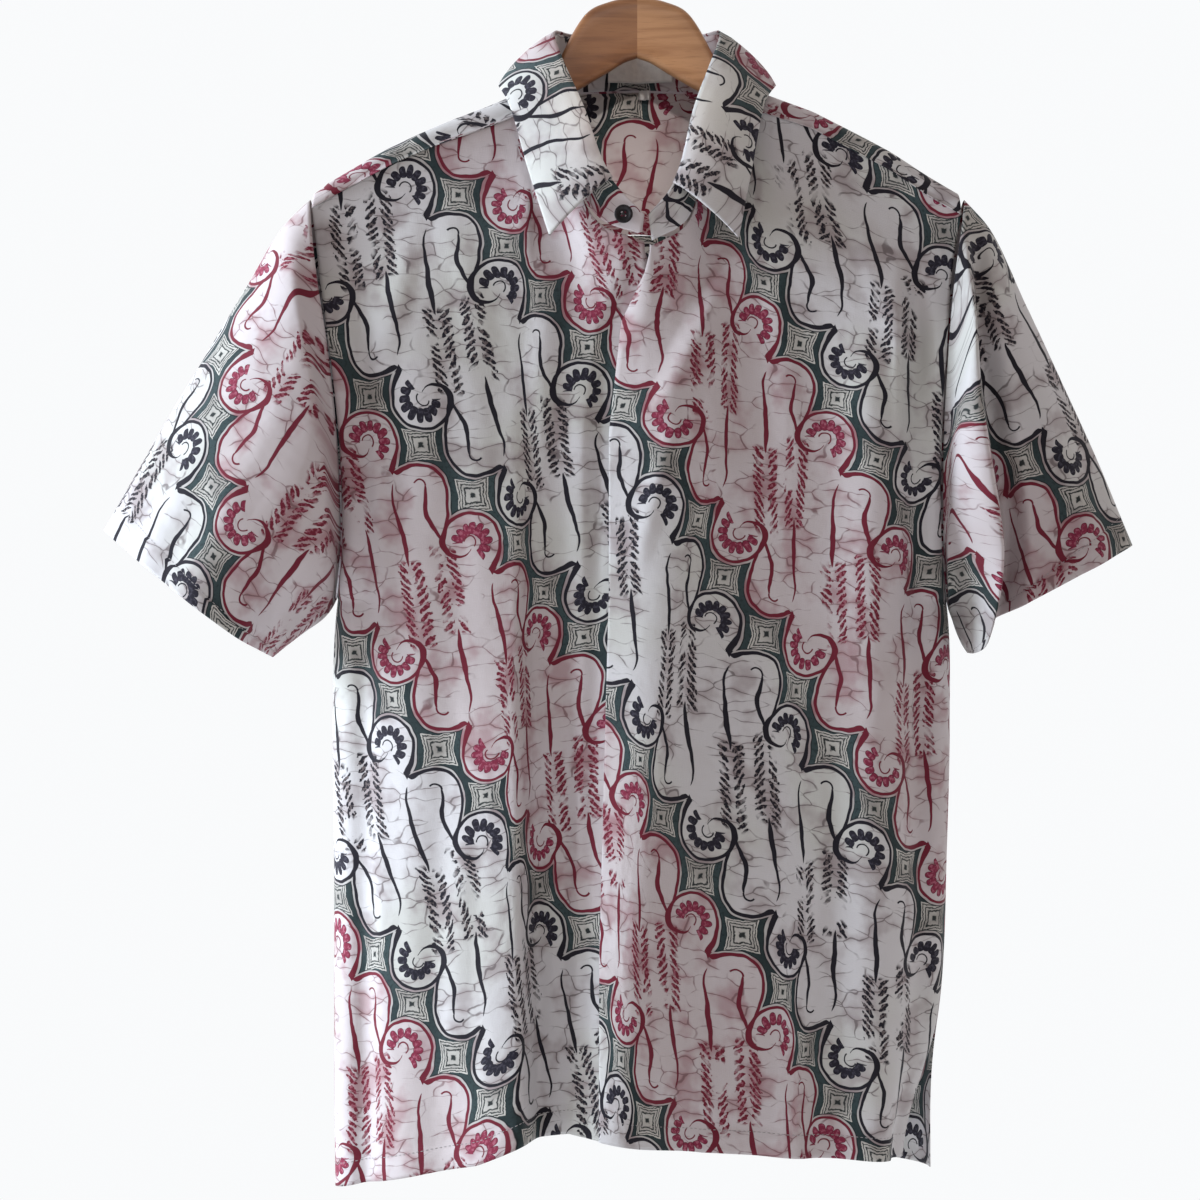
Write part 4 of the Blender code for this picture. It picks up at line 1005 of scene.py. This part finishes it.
def stand(around, up):
    """The collar's stand, from the neck seam up to the fold, with the yoke's own columns behind."""
    turns = FRONT_NECK_COLUMNS / STAND_COLUMNS
    place = np.interp(around, [0, turns, 1 - turns, 1], [0, BACK_NECK_START, 1 - BACK_NECK_START, 1])
    neck = follow(COLLAR, "neck", place) + np.array([0.0, 0.0, NECK_GAP])
    return mix(neck, follow(COLLAR, "fold", place), up[:, None])


band = woven("neck_band", "collar_stand", stand,
             lambda grid, around, up: (from_middle(grid), STAND_PRINT - STAND_HIGH * up),
             STAND_SIZE, -1, wall=STAND_WALL)


# COLLAR LEAF. Two layers with an interlining between, folded down over the stand and pointed at both
# ends. Its edge is turned in and stitched.
LEAF_START = 0.062
LEAF_LIFT = 0.0022
LEAF_CROWN = 0.005
LEAF_BEND = 0.12  # the part of its reach over which the leaf lifts clear of the fold
LEAF_SIZE = (230, 26)
LEAF_WALL = 0.0013
LEAF_EASE = 0.97  # the leaf is stretched a little as it is sewn round the stand
LEAF_TURN = -4
LEAF_PRINT = (0.089, -1.049)
NECK_CENTRE = (0.0, -0.016, 0.0)


def outward(place):
    """The level direction away from the neck at a place round the collar."""
    away = (follow(COLLAR, "fold", place) - NECK_CENTRE) * (1, 1, 0)
    return away / np.linalg.norm(away, axis=1)[:, None]


def leaf(around, out):
    """The collar's leaf, from the fold over the stand to its free edge."""
    place = mix(LEAF_START, 1 - LEAF_START, around)
    away = outward(place)
    fold = follow(COLLAR, "fold", place) + away * LEAF_LIFT * ease(out / LEAF_BEND)[:, None]
    fold[:, 2] += NECK_GAP
    edge = follow([row for row in COLLAR if row.leaf_edge], "leaf_edge", place)
    crown = LEAF_CROWN * 4 * out * (1 - out)
    return mix(fold, edge, out[:, None]) + away * crown[:, None]


def laid_leaf(grid, across, down):
    """Laid out from the fold, so that the pointed ends run on past it."""
    fold = LEAF_EASE * unrolled(grid)[-1]
    ahead = np.gradient(grid[-1], axis=0)
    ahead = ahead / np.linalg.norm(ahead, axis=1)[:, None]
    reach = grid - grid[-1]
    past = (reach * ahead).sum(axis=2)
    deep = np.linalg.norm(reach - past[:, :, None] * ahead, axis=2)
    return turned(fold - fold[-1] / 2 + past, -deep, LEAF_TURN, LEAF_PRINT)


collar = woven("folded_collar", "collar_leaf", leaf, laid_leaf, LEAF_SIZE, -1, wall=LEAF_WALL)


# SLEEVES. Each is one piece closed along the underarm, sewn into the armhole and turned up at the cuff.
# The left one has slid down the hanger's end and hangs with a roll against the body.

# The tables have one row for each place from armhole to cuff: the upper edge, the lower edge, how far
# the tube reaches to front and back of its middle plane, and that plane's own depth.
TUBE = "along top_x top_drop low_x low_drop front back plane"
RIGHT_SLEEVE = table(
    TUBE,
    (0, -226.5, 198, -210, 475, 40, 44, 0), (80, -243, 214, -212.5, 480, 46, 46, 0),
    (250, -271, 258, -219, 488, 52, 46, -4), (500, -305.5, 315.5, -231, 497, 50, 42, -12),
    (750, -338.5, 371, -242.5, 506, 44, 38, -16), (1000, -370.2, 426.4, -253, 514.7, 38, 34, -18),
)
LEFT_SLEEVE = table(
    TUBE,
    (0, 226.5, 198, 216.5, 475, 40, 44, 0), (80, 242, 215, 217.5, 480, 44, 46, 0),
    (250, 269, 269, 220, 485, 40, 46, 4), (500, 296, 324, 223, 490, 34, 42, 6),
    (750, 322, 378, 227, 495, 30, 38, 4), (1000, 346.5, 436.5, 231, 498, 28, 34, 0),
)
# Folds on a sleeve. The crest's height on the tube, 0 at the upper edge and 1 at the lower, is given
# near the shoulder and at the cuff, and it runs lower between them the smaller its bend is. A fold lies
# on the front, or with side -1 on the back.
Drape = namedtuple("Drape", "shoulder cuff bend above below shoulder_height cuff_height side")
RIGHT_SLEEVE_FOLDS = (
    Drape(0.10, 0.58, 0.6, 0.20, 0.16, 0.001, 0.003, 1),
    Drape(0.05, 0.28, 0.6, 0.12, 0.14, 0.001, 0.004, 1),
    Drape(0.45, 0.96, 0.6, 0.12, 0.10, -0.003, -0.006, 1),
    Drape(0.76, 0.82, 1.0, 0.80, 0.22, 0.022, 0.036, 1),
    Drape(0.30, 0.60, 0.6, 0.20, 0.20, 0.004, 0.010, -1),
)
LEFT_SLEEVE_FOLDS = (
    Drape(0.04, 0.95, 0.60, 0.10, 0.52, 0.030, 0.056, 1),
    Drape(-0.06, 0.83, 0.60, 0.17, 0.11, -0.012, -0.026, 1),
    Drape(0.02, 0.22, 0.6, 0.12, 0.14, 0.002, 0.008, 1),
    Drape(0.30, 0.60, 0.6, 0.20, 0.20, 0.004, 0.010, -1),
)
SLEEVE_GAP = 0.0012
SLEEVE_SIZE = (230, 84)
DRAPE_START = 0.11  # the part of a sleeve over which its folds come up from the armhole
ROLL_HALF = 0.2
CUFF_TURN = 0.085  # how much of a sleeve its turned-up cuff takes
CUFF_STEP = 0.0008
CUFF_SLOPE = 0.012
# A sleeve's table, its folds, how far its front laps over the armhole seam, and how much lower its roll
# hangs at the cuff.
RIGHT_TUBE = (RIGHT_SLEEVE, RIGHT_SLEEVE_FOLDS, 0.010, 0.0)
LEFT_TUBE = (LEFT_SLEEVE, LEFT_SLEEVE_FOLDS, 0.008, 0.014)


def sleeve_ring(rows, folds, lap, roll_drop, turn, along):
    """Round a sleeve from its upper edge (turn 0) down the front to the underarm and up the back."""
    low, face = (1 - np.cos(turn)) / 2, np.sin(turn)
    top_x, top_drop, low_x, low_drop, front, back_reach, own_plane = (
        follow(rows, column, along) for column in TUBE.split()[1:])
    side = "right_side" if rows[0].top_x < 0 else "left_side"
    hole_drop = mix(ARM_TOP, UNDERARM, low)
    bow = follow(BODY, side, hole_drop) - mix(rows[0].top_x, rows[0].low_x, low)
    lapped = lap * crest(along - 0.2, 0.2, 0.4) * np.clip(face, 0, 1)
    x = mix(top_x, low_x, low) + bow * (1 - along) ** 2
    x = x + math.copysign(1, rows[0].top_x) * (SLEEVE_GAP * (1 - along) - lapped)
    depth = mix(arm_axis(hole_drop), own_plane, ease(along))
    depth = depth + np.where(face > 0, -front, back_reach) * np.abs(face)
    for fold in folds:
        middle = mix(fold.shoulder, fold.cuff, along**fold.bend)
        tall = mix(fold.shoulder_height, fold.cuff_height, along) * ease(along / DRAPE_START)
        shown = np.clip(fold.side * face, 0, 1) ** 0.25
        depth = depth - fold.side * tall * crest(low - middle, fold.above, fold.below) * shown
    drop = mix(top_drop, low_drop, low)
    drop = drop + roll_drop * along * crest(low - 1, ROLL_HALF, ROLL_HALF) * np.clip(face + 1, 0, 1)
    depth = depth - CUFF_STEP * np.clip(3 * face, -1, 1) * ease((along - 1 + CUFF_TURN) / CUFF_SLOPE)
    return np.stack([x, depth, -drop], axis=-1)


def lengths(route):
    """The length of a route from its start to each of its points."""
    return np.concatenate([[0], np.cumsum(np.linalg.norm(np.diff(route, axis=0), axis=1))])


def sleeve(*tube):
    """A function for a sleeve whose columns are spaced evenly along the cloth of every ring."""
    def shape(around, down):
        turn = np.linspace(-math.pi, math.pi, 721)
        places = np.empty((len(around), 3))
        for row in np.unique(down):
            ring = sleeve_ring(*tube, turn, np.full_like(turn, row))
            run = lengths(ring)
            places[down == row] = on_route(around[down == row] * run[-1], run, ring)
        return places
    return shape


def laid_sleeve(rows, turn, shift):
    """A sleeve's threads run along its upper edge, and its cloth is laid out from that edge to both sides."""
    side = math.copysign(1, rows[0].top_x)
    axis = np.array([rows[-1].top_x - rows[0].top_x, 0.0, rows[0].top_drop - rows[-1].top_drop])
    axis = axis / np.linalg.norm(axis)

    def laid(grid, across, down):
        along = grid @ axis
        run = unrolled(grid - along[..., None] * axis)
        steps = np.hypot(np.diff(along, axis=0), np.diff(grid[..., 1], axis=0))
        length = along[0] - np.concatenate([np.zeros((1, run.shape[1])), np.cumsum(steps, axis=0)])
        height = grid @ (-axis[2] * side, 0.0, axis[0] * side)
        top = run[np.arange(len(run)), height.argmax(axis=1)]
        number = np.linspace(0, 1, len(run))
        middle = np.polyval(np.polyfit(number, top, 5), number)
        return turned(side * (middle[:, None] - run), -length, turn, shift)
    return laid


right_tube = woven("right_sleeve", "sleeve_right", sleeve(*RIGHT_TUBE),
                   laid_sleeve(RIGHT_SLEEVE, 6.5, (-0.1324, -0.6085)), SLEEVE_SIZE, -1)
left_tube = woven("left_sleeve", "sleeve_left", sleeve(*LEFT_TUBE),
                  laid_sleeve(LEFT_SLEEVE, 5.7, (-0.038, -0.760)), SLEEVE_SIZE, 1)


# NECK LABEL AND SIZE TAB. Satin tapes with woven edges, sewn inside the back of the neck, both bare. The
# label lies on the stand above the yoke's seam, and the tab hangs from that seam.
LABEL_CORNERS = ((-0.0202, -0.1084), (0.0253, -0.0850))
TAB_CORNERS = ((0.0014, -0.1202), (0.0091, -0.1135))
LABEL_THICK = 0.0008
LAYER_GAP = 0.0005
CLOTH = 0.0014
TAPE_FOOT = -0.120  # the level of the seam behind the neck, and how high the stand rises from it there
TAPE_RISE = 0.037
TAPE_BELLY = 0.0006
RIB_PITCH = 0.00045


def satin(name, colour, edge):
    """A tape woven so close that only a fine crosswise rib shows, a little darker along its edges."""
    finish, weave = surface(name, cloth=True)
    v = weave.part(1)
    rib = (v * (2 * math.pi / RIB_PITCH)).math("SINE") * 0.5 + 0.5
    wear = weave.noise(210, 3)
    border = (abs(v - 0.5 * edge) - 0.5 * edge + 0.0016).rise(0.0, 0.0003)
    shade = (wear.rise(0.35, 0.70) * 0.35 + border * 0.35).mixed(colour, [0.62 * part for part in colour])
    return finished(finish, shade, wear * 0.2 + 0.38, (rib + wear).bump(0.00012, 0.6))


def tape(kind, node, corners, size, colour):
    """A tape on the inside of the back of the neck, over the seam between the yoke and the stand."""
    start, end = corners
    rows = sorted((*row.neck[:2], *row.fold[:2]) for row in COLLAR if abs(row.place - 0.5) < 0.2)

    def shape(across, down):
        x, z = mix(start[0], end[0], across), mix(end[1], start[1], down)
        neck_y, fold_y = (np.interp(x, *zip(*[row[k:k + 2] for row in rows])) for k in (0, 2))
        up = np.clip((z - TAPE_FOOT) / TAPE_RISE, 0, 1)
        belly = TAPE_BELLY * np.sin(across * math.pi * 3) * np.sin(down * math.pi)
        depth = np.minimum(mix(neck_y, fold_y, up), neck_y) - CLOTH - LABEL_THICK - 2 * LAYER_GAP - belly
        return np.stack([x, depth, z], axis=1)

    width, height = end[0] - start[0], end[1] - start[1]
    piece = woven("bare_" + kind, node, shape,
                  lambda grid, across, down: (across * width, (1 - down) * height), size, -1,
                  satin(kind + "_satin", colour, height), LABEL_THICK)
    return piece


label = tape("label", "neck_label", LABEL_CORNERS, (48, 20), (0.70, 0.68, 0.64))
tape("tab", "size_tab", TAB_CORNERS, (16, 12), (0.60, 0.59, 0.57))


# BUTTON. Turned from black polyester with a raised rim and four holes, and sewn to the stand's right end
# with a cross of dark thread.
BUTTON_RADIUS = 0.0063
BUTTON_THICK = 0.0026
BUTTON_AT = (-0.0100, -0.2128)
BUTTON_LIFT = 0.0022
BUTTON_HOLE = 0.0008
BUTTON_HOLES_APART = 0.0011  # from the middle of the button, along both ways
BUTTON_FLOOR = 0.62  # the height of its sunk middle, as a part of its thickness
# Its profile as (radius, height above the cloth) in parts of its own radius and thickness.
BUTTON_PROFILE = ((0.0, BUTTON_FLOOR), (0.50, BUTTON_FLOOR), (0.60, 0.70), (0.70, 0.92), (0.80, 1.0),
                  (0.92, 0.96), (1.0, 0.74), (1.0, 0.42), (0.90, 0.12), (0.72, 0.0), (0.0, 0.0))

plastic, grain = surface("button_plastic")
scuffs = grain.noise(2400, 2, 1.0)
finished(plastic, grain.noise(420, 3).rise(0.35, 0.7).mixed((0.008, 0.007, 0.009), (0.020, 0.017, 0.018)),
         scuffs * 0.25 + 0.34, scuffs.bump(0.00004, 0.5), Specular_IOR_Level=0.25)

across = (BUTTON_AT[0] - COLLAR[0].neck[0]) / (COLLAR[1].neck[0] - COLLAR[0].neck[0])
button_depth = mix(COLLAR[0].fold[1], COLLAR[1].fold[1], across) - BUTTON_LIFT
bm = bmesh.new()
line = [bm.verts.new((part * BUTTON_RADIUS, -height * BUTTON_THICK, 0.0)) for part, height in BUTTON_PROFILE]
line += [bm.edges.new(pair) for pair in zip(line, line[1:])]
bmesh.ops.spin(bm, geom=line, cent=(0, 0, 0), axis=(0, 1, 0), angle=2 * math.pi, steps=48, use_merge=True)
bmesh.ops.remove_doubles(bm, verts=bm.verts, dist=1e-6)
bmesh.ops.recalc_face_normals(bm, faces=bm.faces)
for vert in bm.verts:
    vert.co += Vector((BUTTON_AT[0], button_depth, BUTTON_AT[1]))
button = made("top_button", bm, plastic)
drills = bmesh.new()
for side in (-1, 1):
    for rise in (-1, 1):
        at = Vector((BUTTON_AT[0] + side * BUTTON_HOLES_APART, button_depth - BUTTON_THICK / 2,
                     BUTTON_AT[1] + rise * BUTTON_HOLES_APART))
        bmesh.ops.create_cone(drills, cap_ends=True, segments=16, radius1=BUTTON_HOLE, radius2=BUTTON_HOLE,
                              depth=2 * BUTTON_THICK,
                              matrix=Matrix.Translation(at) @ Matrix.Rotation(math.pi / 2, 4, "X"))
drill = object_of("button_holes", drills)
holes = button.modifiers.new("Holes", "BOOLEAN")
holes.object = drill
holes.operation = "DIFFERENCE"
holes.solver = "EXACT"
bpy.context.view_layer.update()
drilled = bpy.data.meshes.new_from_object(button.evaluated_get(bpy.context.evaluated_depsgraph_get()))
button.modifiers.clear()
button.data = drilled
bpy.data.objects.remove(drill)
button.data.set_sharp_from_angle(angle=math.radians(35))
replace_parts(button, "button")


# STITCHING. Running lock stitches of two-ply cotton thread: round the hem and the cuffs, and along the
# collar leaf's edge. The button's own cross of thread is with them.
STITCH_PITCH = 0.0034
STITCH_LENGTH = 0.0024
THREAD_RADIUS = 0.00028
BUTTON_THREAD_RADIUS = 0.0005
STITCH_PROUD = 1e-4
HEM_PROBE = 0.1  # the part of a panel's length that its slope at the hem is measured on
LEAF_SEAM = 0.90  # how far out over the leaf its stitches run


def thread_finish(name, colour):
    finish, fibre = surface(name)
    fluff = fibre.noise(3200, 2)
    shade = fluff.rise(0.3, 0.7).mixed(colour, [0.6 * part for part in colour])
    return finished(finish, shade, fluff * 0.2 + 0.65, fluff.bump(0.00008, 0.6))


def bead(bm, start, end, radius):
    """One stitch, a plump length of thread."""
    along = Vector(end) - Vector(start)
    turn = along.to_track_quat("Z", "Y")
    bmesh.ops.create_icosphere(bm, subdivisions=1, radius=1.0, matrix=Matrix.LocRotScale(
        (Vector(start) + Vector(end)) / 2, turn, Vector((radius, radius, along.length / 2))))


def stitched(name, routes, finish):
    bm = bmesh.new()
    for route in routes:
        run = lengths(route)
        for begin in np.arange(STITCH_PITCH / 2, run[-1] - STITCH_PITCH, STITCH_PITCH):
            bead(bm, *on_route((begin, begin + STITCH_LENGTH), run, route), THREAD_RADIUS)
    stitches = made(name, bm, finish)
    return stitches


def hem_route(shape, panel):
    """A line round a panel's hem, just on its outside."""
    parts = np.linspace(0.004, 0.996, 260)
    low, high = (shape(parts, np.full_like(parts, at)) for at in (1.0, 1 - HEM_PROBE))
    down = 1 - HEM_PROBE * HEM_TURN / (high - low)[:, 2].clip(0.001)
    route = np.stack([shape(np.array([part]), np.array([at]))[0] for part, at in zip(parts, down)])
    return lifted(route, panel) + (0.0, panel.face * STITCH_PROUD, 0.0)


def cuff_route(*tube):
    turn = np.linspace(-math.pi, math.pi, 400)
    ring = sleeve_ring(*tube, turn, np.full_like(turn, 1 - CUFF_TURN))
    return ring - np.stack([0 * turn, 1.5 * STITCH_PROUD * np.sin(turn), 0 * turn], axis=1)


def leaf_route():
    parts = np.linspace(0.03, 0.97, 240)
    away = outward(mix(LEAF_START, 1 - LEAF_START, parts))
    return leaf(parts, np.full_like(parts, LEAF_SEAM)) + away * 1.5 * STITCH_PROUD


pale_thread = thread_finish("pale_thread", (0.44, 0.41, 0.41))
dark_thread = thread_finish("dark_thread", (0.03, 0.02, 0.022))
panels = ((right_front, FRONT), (left_front, FRONT), (back, BACK))
stitched("hem_stitching", [hem_route(*panel) for panel in panels], pale_thread)
stitched("cuff_stitching", [cuff_route(*RIGHT_TUBE), cuff_route(*LEFT_TUBE)], pale_thread)
stitched("collar_stitching", [leaf_route()], pale_thread)
bm = bmesh.new()
front = button_depth - BUTTON_FLOOR * BUTTON_THICK
for side in (-1, 1):
    ends = [(BUTTON_AT[0] + way * BUTTON_HOLES_APART, front, BUTTON_AT[1] + way * side * BUTTON_HOLES_APART)
            for way in (-1, 1)]
    bead(bm, *ends, BUTTON_THREAD_RADIUS)
made("button_thread", bm, dark_thread)
